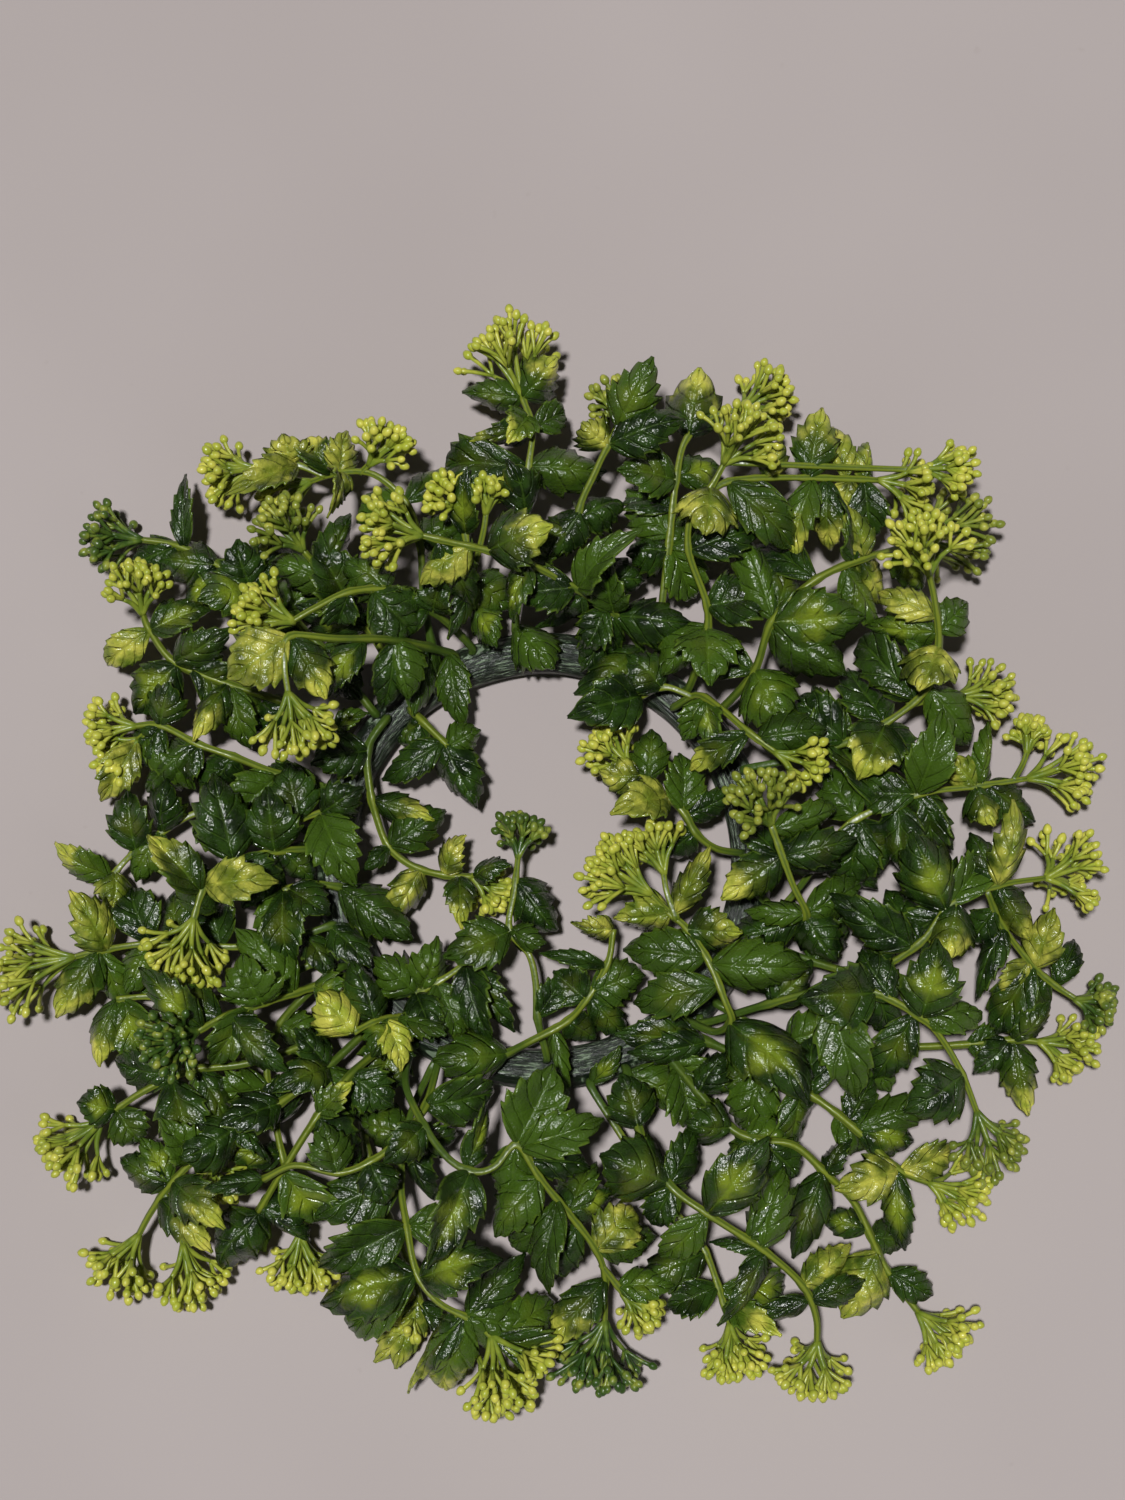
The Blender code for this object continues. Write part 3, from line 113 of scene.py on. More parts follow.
# top left, three heads on one long sprig
add_sprig(
    [[(-31, 58, 13), (-34, 74, 21), (-35, 90, 26), (-39, 101, 28), (-48, 109, 28), (-58, 110, 25),
      (-67, 108, 20)],
     [(-62, 109.3, 26), (-72, 113, 22), (-83, 112, 20)],
     [(-52, 109.5, 28), (-49, 112, 29)]],
    [(-58, 110, -56, 122, 24, 10, "lime"), (-60, 110, -69, 120, 20, 10, "tip"),
     (-58, 110, -61, 96, 32, 12, "lime"), (-72, 113, -74, 121, 26, 13, "lime"),
     (-70, 112, -90, 103, 30, 11, "lime"), (-39, 101, -53, 96, 23, 12),
     (-39, 101, -27, 111, 22, 10, "tip"), (-35, 90, -22, 97, 20, 11), (-32, 62, -37, 41, 9, 11)],
    [(0, -76, 104, 20, 10), (1, -92, 111, 18, 10), (2, -44, 118, 31, 9)],
)
# two small heads behind the top sprigs
add_sprig(
    [[(-17, 64.5, 13), (-20, 78, 22), (-22, 92, 26), (-23, 99, 28)],
     [(-20, 80, 22.6), (-17, 92, 28), (-16, 98, 30)]],
    [(-22, 92, -21, 110, 36, 9, "blotch"), (-20, 80, -27, 62, 27, 10), (-21, 84, -30, 95, 20, 11),
     (-19, 72, -13, 60, 24, 10, "blotch"), (-20, 80, -10, 72, 14, 12)],
    [(0, -28, 104, 31, 7), (1, -14, 104, 32, 6)],
)
# upper left, a head of green buds that faces up
add_sprig(
    [[(-41, 50.5, 13), (-50, 66, 19), (-60, 78, 27), (-68, 87, 33)]],
    [(-55, 72, -65, 89, 29, 15), (-50, 67, -70, 72, 27, 15, "blotch"), (-60, 78, -78, 84, 26, 11),
     (-63, 81, -55, 98, 24, 12), (-50, 66, -40, 75, 22, 12)],
    [(0, -74, 94, 38, 10, "mixed")],
)
# upper left, the dark head
add_sprig(
    [[(-49, 43, 13), (-62, 59, 16), (-78, 74, 19), (-93, 84, 19), (-105, 90, 17), (-116, 92, 16)]],
    [(-103, 89, -103, 111, 14, 8), (-105, 90, -119, 85, 8, 10), (-93, 84, -111, 86, 13, 12),
     (-92, 83, -103, 73, 12, 12, "blotch"), (-84, 78, -87, 91, 24, 12),
     (-84, 78, -98, 73, 27, 13, "blotch"), (-70, 67, -83, 58, 14, 12), (-63, 59, -52, 46, 15, 12),
     (-74, 70, -62, 88, 11, 13), (-90, 82, -70, 86, 12, 12), (-64, 61, -56, 52, 10, 11),
     (-99, 87, -88, 76, 11, 12)],
    [(0, -126, 93, 15, 10, "dark")],
)
# left of it, a yellow head over two pairs of leaves
add_sprig(
    [[(-55, 34, 13), (-72, 44, 17), (-90, 50, 19), (-105, 56, 21), (-112, 65, 23), (-114, 70, 25)]],
    [(-112, 65, -125, 56, 14, 10, "lime"), (-112, 65, -95, 71, 20, 12, "blotch"),
     (-105, 56, -88, 65, 30, 12), (-104, 56, -117, 42, 15, 14, "blotch"),
     (-90, 50, -99, 33, 22, 10, "tip"), (-89, 50, -84, 32, 12, 11), (-72, 44, -84, 38, 8, 12),
     (-90, 50, -78, 38, 7, 12), (-60, 37, -50, 42, 9, 7, "blotch"), (-101, 54, -90, 50, 13, 12)],
    [(0, -115, 78, 28, 11)],
)
# left, two slender heads side by side
add_sprig(
    [[(-61, 20, 13), (-75, 24, 18), (-88, 29, 22), (-98, 32.5, 22), (-109, 38, 20), (-117, 38, 18)],
     [(-110, 38, 20), (-116, 34, 16)]],
    [(-109, 38, -115, 28, 9, 13), (-109, 38, -106, 50, 9, 11), (-99, 33, -114, 20, 7, 12),
     (-98, 32, -103, 24, 14, 10), (-116, 34, -127, 17, 12, 11, "lime"), (-88, 29, -97, 19, 8, 12),
     (-75, 24, -90, 12, 16, 15), (-64, 21, -79, 27, 9, 10), (-114, 36, -100, 20, 11, 12)],
    [(0, -127, 38, 15, 7), (1, -125, 28, 14, 7)],
)
# left, the high stem whose head faces down
add_sprig(
    [[(-26, 58.5, 13.5), (-41, 61, 34), (-57, 60, 48), (-70, 60, 53), (-71, 52, 54), (-70, 44, 53)]],
    [(-70, 60, -87, 49, 49, 17, "lime"), (-69, 59, -60, 43, 50, 12, "tip"),
     (-50, 60.5, -60, 45, 38, 11, "blotch"), (-41, 61, -38, 45, 28, 12), (-33, 60, -47, 51, 20, 12),
     (-27, 58.7, -22, 38, 16, 10), (-41, 61, -46, 43, 21, 10)],
    [(0, -67, 33, 50, 11)],
)
# left, the high head that faces left
add_sprig(
    [[(-21, 61.5, 13.5), (-31, 70, 27), (-42, 75, 35), (-54, 74, 40), (-64, 69, 42), (-70, 65.5, 42)]],
    [(-32, 71, -49, 69, 29, 15), (-43, 75, -56, 84, 31, 13), (-54, 74, -58, 66, 32, 10),
     (-31, 70, -28, 80, 18, 11), (-48, 75, -38, 64, 23, 17)],
    [(0, -80, 69, 43, 12)],
)
# top right of centre, a head held between leaves
add_sprig(
    [[(17, 64.5, 13), (14, 80, 24), (10, 96, 31), (15, 109, 35), (19, 117, 37), (22, 123, 37)]],
    [(18, 116, 11, 122, 40, 10, "lime"), (21, 121, 31, 140, 43, 13), (19, 116, 40, 123, 38, 13),
     (10, 96, 23, 101, 22, 12), (11, 94, -4, 88, 22, 11), (14, 80, 29, 80, 16, 12),
     (11, 98, 4, 86, 20, 11)],
    [(0, 20, 131, 33, 7, "mixed")],
)
# top right, the long curved stem
add_sprig(
    [[(33, 57, 13), (34, 72, 18), (36, 90, 22), (38, 108, 24), (41, 120, 23), (49, 127, 21),
      (57, 129, 20)]],
    [(41, 121, 45, 141, 20, 16, "tip"), (38, 108, 21, 110, 30, 14),
     (38, 109, 51, 113, 15, 11, "blotch"), (36, 92, 24, 106, 17, 14), (36, 88, 24, 87, 15, 13),
     (36, 89, 50, 96, 13, 13), (36, 90, 44, 76, 8, 12), (37, 100, 24, 104, 14, 12)],
    [(0, 65, 134, 18, 10)],
)
# top right, the high sprig with a round head and a long one
add_sprig(
    [[(42, 50, 13), (46, 61, 24), (46.5, 71, 31), (41, 86, 38), (42, 97, 42), (47, 103, 43),
      (51, 110, 44)],
     [(44.5, 100, 42.5), (52, 105, 41), (64, 106.5, 38), (80, 107, 34), (96, 107, 30)],
     [(88, 107, 32), (98, 110, 32), (107, 110, 32)]],
    [(47, 103, 45, 89, 49, 17, "lime"), (41, 86, 61, 93, 32, 12), (52, 105, 71, 87, 32, 12),
     (63, 106, 67, 117, 40, 8, "lime"), (75, 107, 79, 127, 34, 12, "tip"),
     (76, 107, 72, 84, 30, 10, "tip"), (86, 107, 83, 123, 24, 8, "lime"),
     (87, 107, 84, 96, 27, 10, "lime"), (91, 107, 92, 118, 23, 9, "lime"), (91, 107, 93, 91, 22, 11),
     (46.5, 71, 64, 74, 28, 16), (46, 65, 47, 48, 36, 16), (46, 66, 34, 52, 24, 13),
     (60, 106, 66, 92, 24, 12), (80, 107, 82, 88, 24, 10, "tip"), (42, 50, 36, 32, 20, 11)],
    [(0, 57, 119, 46, 12), (1, 107, 105, 27, 9), (2, 119, 110, 33, 6)],
)
# right of it, the arching stem with the dark head
add_sprig(
    [[(50, 42, 13), (60, 53, 25), (65, 67, 33), (77, 78, 36), (91, 84.5, 33), (101, 88, 25),
      (107, 91, 21)]],
    [(65, 66, 91, 68, 33, 17, "blotch"), (64, 65, 86, 52, 27, 14), (91, 84, 86, 99, 22, 10, "lime"),
     (90, 84, 97, 73, 20, 9, "lime"), (77, 78, 63, 89, 22, 13), (60, 53, 70, 37, 30, 16),
     (60, 53, 48, 58, 14, 12), (88, 83, 83, 102, 21, 12), (65, 67, 55, 93, 21, 12),
     (65, 67, 70, 84, 20, 11), (85, 82, 96, 66, 21, 12), (101, 88, 108, 77, 16, 10, "blotch")],
    [(0, 123, 95, 15, 12, "mixed")],
)
# right, the stem that climbs past the yellow lobed leaf
add_sprig(
    [[(58.5, 26, 13), (74, 29, 18), (86, 33, 22), (97, 38, 26), (109, 48, 30), (111.5, 60, 35),
      (110, 71, 40), (108, 79, 43)],
     [(103, 43, 28), (113, 45.5, 24), (119, 46.5, 21)]],
    [(111.5, 59, 105, 46, 41, 16, "lime"), (111, 63, 120, 72, 30, 10),
     (111, 63, 92, 66, 26, 11, "blotch"), (109, 48, 122, 33, 16, 13), (110, 67, 95, 75, 26, 9, "lime"),
     (97, 38, 89, 22, 29, 16, "tip"), (97, 38, 105, 24, 17, 13), (86, 33, 72, 46, 15, 14),
     (74, 29, 88, 44, 15, 13), (97, 38, 88, 55, 10, 14), (105, 45, 97, 62, 14, 14),
     (110, 52, 103, 66, 20, 11), (86, 33, 78, 50, 9, 13), (105, 45, 91, 62, 9, 13)],
    [(0, 106, 88, 47, 13), (1, 128, 48, 18, 9)],
)
# right, a long stem with a head at its end and a small one beside it
add_sprig(
    [[(62.5, -14, 9), (69, -13, 12), (74, -7, 16), (80, 1.5, 22), (88, 10.5, 24), (106, 18, 25),
      (123, 20.5, 22), (139, 23, 19)],
     [(134, 22.3, 20), (137, 27, 18), (138.5, 31, 17)]],
    [(106, 18, 113, 42, 24, 12), (106, 18, 90, 19, 17, 11), (106, 18, 117, 3, 15, 13),
     (123, 20.5, 116, 29, 23, 10, "lime"), (124, 21, 127, 39, 20, 9), (123, 20.5, 128, 9, 25, 11, "tip"),
     (126, 21, 141, 11, 12, 12), (88, 10.5, 96, -4, 15, 14), (80, 1.5, 72, 8, 18, 12),
     (90, 11, 86, -6, 12, 14), (100, 16, 104, -4, 14, 14), (108, 18, 113, 4, 12, 10),
     (80, 2, 96, -8, 9, 12), (89, 11, 80, 26, 15, 12), (97, 14, 84, 34, 15, 13)],
    [(0, 153, 26, 16, 10), (1, 140, 37, 15, 5)],
)
# right, below it, the stem that rises in an arch
add_sprig(
    [[(58, -21, 13), (76, -29, 20), (92, -32, 26), (106, -24, 31), (114, -14, 33), (128, -8, 30),
      (143, -5.5, 24)],
     [(125, -9.5, 30.8), (130, -19, 24), (139, -30, 19), (146, -36, 17), (152, -40, 17)]],
    [(113, -15, 103, 7, 38, 16, "blotch"), (128, -8, 132, 16, 34, 10, "lime"),
     (128, -8, 138, -23, 22, 10, "tip"), (116, -13, 113, -29, 35, 15, "tip"), (114, -14, 125, 2, 19, 11),
     (104, -25, 80, -10, 30, 13), (92, -32, 100, -14, 19, 13), (76, -29, 87, -13, 17, 14),
     (140, -31, 145, -14, 22, 12, "lime"), (138, -29, 130, -38, 15, 11, "lime"),
     (146, -36, 152, -23, 12, 8), (143, -34, 135, -45, 9, 10), (106, -24, 98, -9, 16, 12),
     (130, -19, 124, -40, 12, 12), (139, -30, 130, -50, 8, 12), (92, -32, 99, -49, 10, 10),
     (113, -15, 100, -24, 20, 12), (128, -8, 121, 7, 24, 10), (128, -14, 122, -23, 15, 9)],
    [(0, 151, -3, 19, 13), (1, 158, -41, 17, 9, "dark")],
)
# lower right, the low stem that runs straight out
add_sprig(
    [[(50, -41, 11), (70, -52, 13), (92, -53.5, 14), (116, -53, 14), (134, -51.5, 14), (142, -52, 14)]],
    [(133, -51.5, 123, -61, 11, 11), (134, -51.5, 139, -73, 9, 10, "tip"),
     (134, -51.5, 144, -40, 10, 10), (92, -53.5, 99, -66, 12, 10), (70, -52, 85, -44, 12, 13),
     (121, -53, 130, -52, 9, 11)],
    [(0, 152, -54, 13, 10)],
)
# lower right, the high stem with the dark and yellow head
add_sprig(
    [[(46, -46, 13), (64, -41, 26), (80, -37, 33), (93, -38, 34), (106, -45, 33), (112, -51, 31),
      (118, -61, 28), (122.5, -72, 25)]],
    [(106, -45, 110, -23, 35, 15, "blotch"), (106, -45, 124, -44, 18, 14), (118, -61, 101, -71, 31, 17),
     (104, -44, 94, -62, 20, 12), (93, -38, 71, -40, 38, 18), (80, -37, 88, -68, 27, 15),
     (64, -41, 76, -29, 24, 13), (98, -41, 90, -26, 21, 11)],
    [(0, 127, -83, 22, 11, "mixed")],
)
# lower right, a yellow head just under the last one
add_sprig(
    [[(43, -50, 13), (58, -57, 20), (76, -67, 23), (89, -77, 23), (100, -87.5, 21), (110, -92, 19)]],
    [(101, -88, 116, -83, 12, 10, "lime"), (100, -88, 82, -93, 26, 12, "lime"),
     (99, -87, 103, -111, 12, 9, "blotch"), (89, -77, 105, -80, 16, 12, "blotch"),
     (88, -76, 112, -71, 18, 10), (76, -67, 78, -50, 16, 13), (60, -58, 50, -66, 14, 11),
     (62, -59, 57, -77, 9, 13), (73, -65, 72, -81, 9, 13), (83, -72, 91, -81, 8, 11),
     (45, -51, 21, -46, 9, 12), (47, -52, 24, -55, 9, 10), (86, -75, 94, -62, 14, 9)],
    [(0, 119, -96, 16, 10)],
)
# lower right, a long stem down to the corner
add_sprig(
    [[(35, -55, 13), (44, -66, 19), (53, -76, 22), (61, -79.5, 23), (71, -81, 23), (80, -89, 21),
      (88, -97, 18), (93, -107, 16), (98, -117, 14), (107, -129, 13)]],
    [(53, -76, 40, -74, 27, 15), (61, -79.5, 53, -88, 16, 10), (62, -79.5, 72, -90, 14, 12),
     (79, -88, 71, -113, 15, 11), (80, -89, 88, -79, 14, 9), (92, -105, 80, -101, 10, 8, "blotch"),
     (93, -107, 105, -109, 10, 9), (95, -111, 85, -130, 13, 14, "lime"), (98, -117, 111, -124, 9, 9),
     (44, -66, 52, -55, 15, 12), (38, -59, 42, -76, 9, 14), (36, -57, 50, -66, 9, 12),
     (57, -78, 70, -80, 14, 12)],
    [(0, 116, -136, 13, 10)],
)
# bottom right, the thick stem to the open head
add_sprig(
    [[(24, -61, 13), (27, -76, 25), (35, -91, 31), (46, -99.5, 32), (62, -110, 29), (73, -120, 25),
      (77, -129, 21), (77.5, -137, 18)]],
    [(46, -99.5, 63, -78, 38, 15, "blotch"), (61, -109.5, 68, -87, 26, 12),
     (46, -99.5, 33, -112, 20, 11), (35, -91, 16, -83, 36, 17), (36, -92, 31, -103, 22, 9),
     (73, -120, 87, -109, 17, 10, "lime"), (75, -124, 91, -119, 12, 8), (62, -110, 49, -131, 26, 9),
     (61, -109, 47, -108, 24, 7), (75, -124, 53, -131, 11, 8), (27, -76, 22, -61, 23, 13),
     (38, -93, 30, -100, 19, 12), (57, -107, 72, -92, 19, 11), (24, -61, 42, -70, 8, 12),
     (36, -91, 42, -76, 19, 11)],
    [(0, 76, -146, 14, 12)],
)
# bottom right, the lower stem behind it
add_sprig(
    [[(14, -64.5, 11), (22, -78, 13), (32, -94, 15), (41, -104, 16), (46, -111, 17), (50, -122, 16),
      (53, -132, 15)]],
    [(50, -122, 69, -122, 9, 13, "blotch"), (51, -126, 67, -134, 9, 8, "tip"),
     (46, -111, 26, -122, 20, 13), (49, -121, 35, -127, 13, 10), (32, -94, 42, -84, 12, 11),
     (14, -64, 22, -53, 7, 6, "blotch")],
    [(0, 54, -142, 14, 10)],
)
# bottom, the long yellow stem that swings under the ring and out to the dark head
add_sprig(
    [[(-38, -55, 13.5), (-38.5, -64, 26), (-33, -75, 34), (-26, -84, 38), (-19, -87.5, 39),
      (-13, -86, 39), (-7, -80, 39), (-1, -89, 37), (7, -99, 33), (14.5, -109, 29), (17.5, -117, 25),
      (17.5, -124, 21), (17.5, -131, 18)],
     [(16.5, -114, 27), (21, -120, 24), (23, -123, 23)]],
    [(-7, -80, 3, -58, 38, 18), (-6, -81, 17, -73, 36, 12), (-4, -84, 13, -87, 28, 10),
     (-20, -87.5, -32, -114, 42, 17, "blotch"), (-21, -87, -16, -67, 30, 11, "blotch"),
     (17.5, -118, 3, -137, 20, 12, "tip"), (7, -99, 20, -94, 24, 10, "blotch"),
     (15, -110, 25, -98, 22, 13, "lime"), (4, -95, 2, -122, 26, 11), (-1, -89, -13, -106, 30, 12),
     (21, -120, 37, -120, 18, 10), (-33, -75, -44, -85, 28, 12), (-7, -80, -12, -98, 26, 12),
     (7, -99, 15, -86, 22, 11), (10, -103, 0, -118, 16, 13), (7, -99, -9, -108, 18, 12),
     (14, -109, 32, -107, 16, 12), (7, -99, 14, -88, 21, 11)],
    [(0, 15, -145, 14, 12, "dark"), (1, 29, -128, 20, 7)],
)
# bottom, the stem to the largest head
add_sprig(
    [[(-33, -61.5, 8), (-38, -74, 16), (-40, -90, 23), (-38, -103, 29), (-35, -116, 32),
      (-29, -124, 32), (-20, -129, 30), (-14, -134, 28)],
     [(-24, -127, 31), (-20, -136, 22), (-17, -143, 18)]],
    [(-35, -116, -62, -125, 26, 19, "blotch"), (-34, -117, -11, -112, 36, 15, "blotch"),
     (-21, -128.5, -5, -111, 24, 10), (-22, -128, -38, -151, 14, 14, "tip"),
     (-38, -103, -63, -115, 22, 15), (-40, -90, -64, -101, 22, 16), (-38, -103, -21, -103, 22, 12),
     (-39, -80, -24, -78, 14, 12), (-39, -78, -52, -74, 12, 13), (-39, -80, -31, -97, 8, 11),
     (-22, -128, -4, -130, 20, 15), (-14, -134, 2, -137, 14, 12), (-35, -116, -55, -133, 10, 13),
     (-22, -128, -27, -150, 8, 12, "tip"), (-14, -134, 3, -126, 10, 12)],
    [(0, -8, -145, 28, 13), (1, -12, -153, 14, 10)],
)
# bottom left, a thin low stem between the leaves
add_sprig(
    [[(-45, -49, 11), (-52, -64, 10), (-50, -84, 10), (-44, -102, 10), (-38, -116, 10), (-35, -126, 10)]],
    [(-34, -127, -48, -143, 8, 12, "lime"), (-35, -126, -27, -138, 7, 9), (-44, -102, -56, -112, 7, 12),
     (-50, -84, -46, -100, 6, 13), (-36, -124, -42, -145, 6, 10, "lime")],
    [(0, -41, -133, 10, 5)],
)
# far left, a large head under two broad leaves
add_sprig(
    [[(-61, -19, 13), (-76, -24, 15), (-92, -25, 14), (-112, -24, 14), (-126, -26, 16), (-134, -28, 18)]],
    [(-124, -26, -134, -9, 24, 14, "lime"), (-126, -27, -139, -45, 13, 13, "tip"),
     (-112, -24, -119, -38, 14, 10), (-92, -25, -103, -37, 15, 11), (-112, -24, -118, -8, 8, 14),
     (-104, -24, -106, -9, 6, 13), (-92, -25, -94, -10, 7, 13), (-126, -26, -121, -43, 7, 10),
     (-68, -21, -60, -34, 9, 10), (-61, -19, -49, -31, 19, 11)],
    [(0, -151, -31, 15, 13)],
)
# far left, a bare stem that ends in curled leaves
add_sprig(
    [[(-65, 8, 9), (-80, 13, 12), (-97, 14, 13), (-109, 8, 13), (-118, 1.5, 12), (-124, -5, 11)]],
    [(-124, -5, -140, 5, 11, 10, "tip"), (-122, -4, -124, -15, 10, 11, "lime"),
     (-117, 3, -119, 20, 14, 13), (-109, 8, -107, 23, 10, 12), (-109, 8, -117, -6, 9, 11),
     (-97, 14, -92, 1, 10, 12)],
)
# left, the stem that turns down to a head on its side
add_sprig(
    [[(-62, 3, 13), (-76, 2, 22), (-87, -1, 29), (-93.5, -5, 32), (-96, -11, 33), (-98, -18, 33)]],
    [(-95, -8, -74, -7, 35, 13, "lime"), (-95, -10, -111, 6, 33, 14, "tip"), (-87, -1, -93, 24, 28, 16),
     (-76, 2, -78, 20, 27, 15), (-77, 2, -85, -14, 24, 13), (-74, 2, -66, -6, 13, 10),
     (-86, -1, -74, -8, 18, 12), (-97, -16, -96, -2, 20, 12)],
    [(0, -101, -28, 28, 12)],
)
# left, the dark head that faces up
add_sprig(
    [[(-56, -33, 13), (-70, -38, 21), (-82, -42, 27), (-90, -45, 30), (-97, -49, 32)]],
    [(-79, -41, -84, -27, 32, 16), (-70, -38, -87, -20, 24, 14), (-88, -44, -71, -60, 31, 13),
     (-90, -45, -107, -37, 24, 10), (-95, -48, -113, -31, 20, 11, "blotch"),
     (-82, -42, -94, -58, 22, 11), (-65, -36, -53, -40, 11, 12, "blotch")],
    [(0, -104, -52, 38, 11, "dark")],
)
# lower left, out to a head past a pair of small leaves
add_sprig(
    [[(-51, -41, 11), (-66, -52, 18), (-84, -58, 21), (-100, -60, 20), (-112.5, -65.5, 19),
      (-121, -71, 17), (-126, -75, 15)]],
    [(-121, -71, -132, -69, 18, 11, "blotch"), (-121, -71, -114, -80, 12, 12),
     (-105, -62, -98, -86, 22, 14), (-104, -62, -122, -57, 12, 14), (-98, -60, -91, -77, 13, 10, "tip"),
     (-97, -60, -88, -78, 13, 12)],
    [(0, -136, -84, 13, 11)],
)
# left, a thin low stem with one hanging pair
add_sprig(
    [[(-60, -27, 9), (-76, -34, 10), (-95, -40, 10), (-112, -39, 11), (-122, -40, 12)]],
    [(-122, -40, -127, -59, 10, 10, "tip"), (-120, -40, -112, -58, 8, 13, "blotch"),
     (-112, -39, -118, -27, 8, 10)],
)
# lower left, three heads around one yellow leaf
add_sprig(
    [[(-47, -45.5, 13), (-61, -59, 19), (-74, -69, 24), (-85, -75, 26), (-97, -84, 24), (-105, -92, 21),
      (-111, -100, 17), (-115, -107, 14)],
     [(-107, -94.5, 20), (-104, -102, 16), (-102, -110, 14)],
     [(-95, -82.5, 24.3), (-93.5, -87, 19)]],
    [(-105, -92, -120, -85, 13, 10), (-105, -92, -114, -79, 18, 9, "blotch"),
     (-104, -91, -89, -104, 29, 12, "tip"), (-108, -96, -93, -111, 22, 10, "tip"),
     (-85, -75, -77, -86, 19, 12), (-61, -59, -70, -48, 24, 13), (-61, -59, -54, -74, 21, 13),
     (-63, -61, -52, -74, 12, 13), (-48, -46, -36, -56, 8, 11, "blotch"), (-61, -59, -76, -66, 31, 13),
     (-74, -69, -90, -75, 35, 14), (-85, -75, -101, -84, 34, 14), (-97, -84, -107, -73, 30, 12)],
    [(0, -122, -117, 12, 11), (1, -100, -121, 11, 11), (2, -91, -94, 14, 7)],
)
# lower left, a straight stem that ends in broad dark leaves
add_sprig(
    [[(-42, -51, 13.5), (-53, -60, 26), (-63, -72.5, 30), (-73, -88, 27), (-80, -99.5, 22)]],
    [(-80, -99.5, -91, -116, 12, 14), (-73, -88, -62, -102, 19, 14, "blotch"),
     (-79, -98, -66, -108, 10, 10), (-63, -72.5, -52, -86, 20, 14), (-54, -61, -42, -70, 24, 13),
     (-63, -72, -53, -63, 32, 9, "tip"), (-42, -51, -50, -67, 8, 14), (-80, -100, -66, -98, 14, 11)],
)
# lower left, the slender stem with the open head
add_sprig(
    [[(-58, -31, 11.5), (-68, -39, 15), (-75, -47, 12), (-79, -58, 10), (-77, -71, 13), (-74, -84, 16),
      (-71, -97, 14), (-69, -107, 13)]],
    [(-76, -75, -75, -61, 27, 14), (-78, -65, -98, -67, 13, 13), (-74, -84, -92, -84, 13, 12, "blotch"),
     (-75, -47, -62, -52, 15, 12)],
    [(0, -69, -118, 11, 10)],
)
# lower left, a winding yellow stem over the leaves
add_sprig(
    [[(-29, -55, 13.5), (-33, -70, 27), (-40, -79, 33), (-48, -85, 35), (-57, -88, 35), (-69, -86, 34),
      (-78, -90, 31)]],
    [(-78, -90, -95, -93, 30, 9), (-57, -88, -61, -74, 36, 12), (-48, -85, -44, -97, 32, 12),
     (-33, -70, -14, -66, 16, 15)],
)
# opening, from the left side in an S to a small yellow head
add_sprig(
    [[(-45, 40, 13), (-50, 32, 17), (-49.5, 21, 18), (-47.5, 12, 17), (-44, 3.5, 16), (-37, -2, 15),
      (-28, -4.5, 14), (-20, -5, 13)]],
    [(-48.5, 17, -31, 11, 18, 8, "tip"), (-44, 3.5, -28, 14, 13, 11), (-44, 3.5, -51, -3, 19, 5),
     (-35, -3, -44, -18, 12, 10, "lime"), (-28, -4.5, -22, 7, 17, 9, "lime"), (-20, -5, -9, -2, 17, 8),
     (-50, 31, -66, 27, 22, 12), (-24, -5, -23, -20, 18, 9, "tip")],
    [(0, -13, -10, 10, 6)],
)
# opening, a short pair of leaves at the upper left
add_sprig(
    [[(-38, 43, 13), (-33, 38, 18), (-27, 32, 19)]],
    [(-29, 33, -19, 15, 13, 14), (-29, 33, -46, 23, 12, 9), (-27, 32, -18, 37, 17, 9),
     (-34, 40, -42, 35, 10, 13)],
)
# opening, up from the bottom to the small dark head
add_sprig(
    [[(1, -56, 13.5), (-1.5, -45, 19), (-2, -35, 21), (-4, -27, 22), (-9.5, -20, 22), (-8, -9, 21),
      (-7, 1, 19)]],
    [(-9, -20.5, -28, -28, 25, 14), (-9, -20, 1, -24, 25, 7), (-7.5, -6, 4, -20, 14, 11),
     (-2, -45, 6, -33, 15, 8)],
    [(0, -6, 9, 17, 8, "dark")],
)
# opening, a short sprig at the lower left
add_sprig(
    [[(-43, -39, 13), (-36, -38, 18), (-28, -34, 20), (-21, -29, 19)]],
    [(-22, -30, -8, -49, 16, 14), (-34, -37.5, -30, -22, 24, 15), (-36, -38, -48, -28, 22, 13),
     (-30, -35, -24, -52, 17, 12), (-36, -38, -31, -52, 16, 10), (-22, -30, -14, -52, 18, 13)],
)
# opening, a stem from the bottom that ends in a yellow leaf
add_sprig(
    [[(-14, -57.5, 13.5), (-4, -52, 22), (7, -46, 23), (13, -39, 20), (18.5, -29.5, 22), (20, -20, 23)]],
    [(20, -20, 8, -18, 23, 11, "lime"), (12.5, -40, 3, -32, 16, 12), (18, -30.5, -1, -27, 21, 5),
     (14, -38, 29, -33, 15, 13), (7, -46, 15, -51, 15, 8), (13, -39, 24, -50, 15, 8),
     (-10, -55, -31, -57, 10, 14), (3, -48, 7, -71, 14, 7)],
)
# right side of the opening, two yellow heads over a broad yellow leaf
add_sprig(
    [[(42, -46, 13), (49, -49, 22), (53, -46, 29), (51, -40, 32), (46.5, -29, 32), (40.5, -20, 30),
      (36, -16, 29), (30, -10, 31)],
     [(38, -17.5, 29.5), (35, -10, 30), (34, -4, 29)]],
    [(53, -47, 74, -69, 37, 19, "blotch"), (36, -16, 20, -17, 28, 15, "lime"),
     (41, -20, 56, -21, 34, 14, "tip"), (37, -16, 47, 3, 34, 9, "lime"), (47, -30, 75, -31, 26, 15),
     (46, -28, 23, -26, 22, 13), (49, -36, 26, -41, 20, 12)],
    [(0, 17, -1, 30, 10), (1, 30, 6, 26, 8)],
)
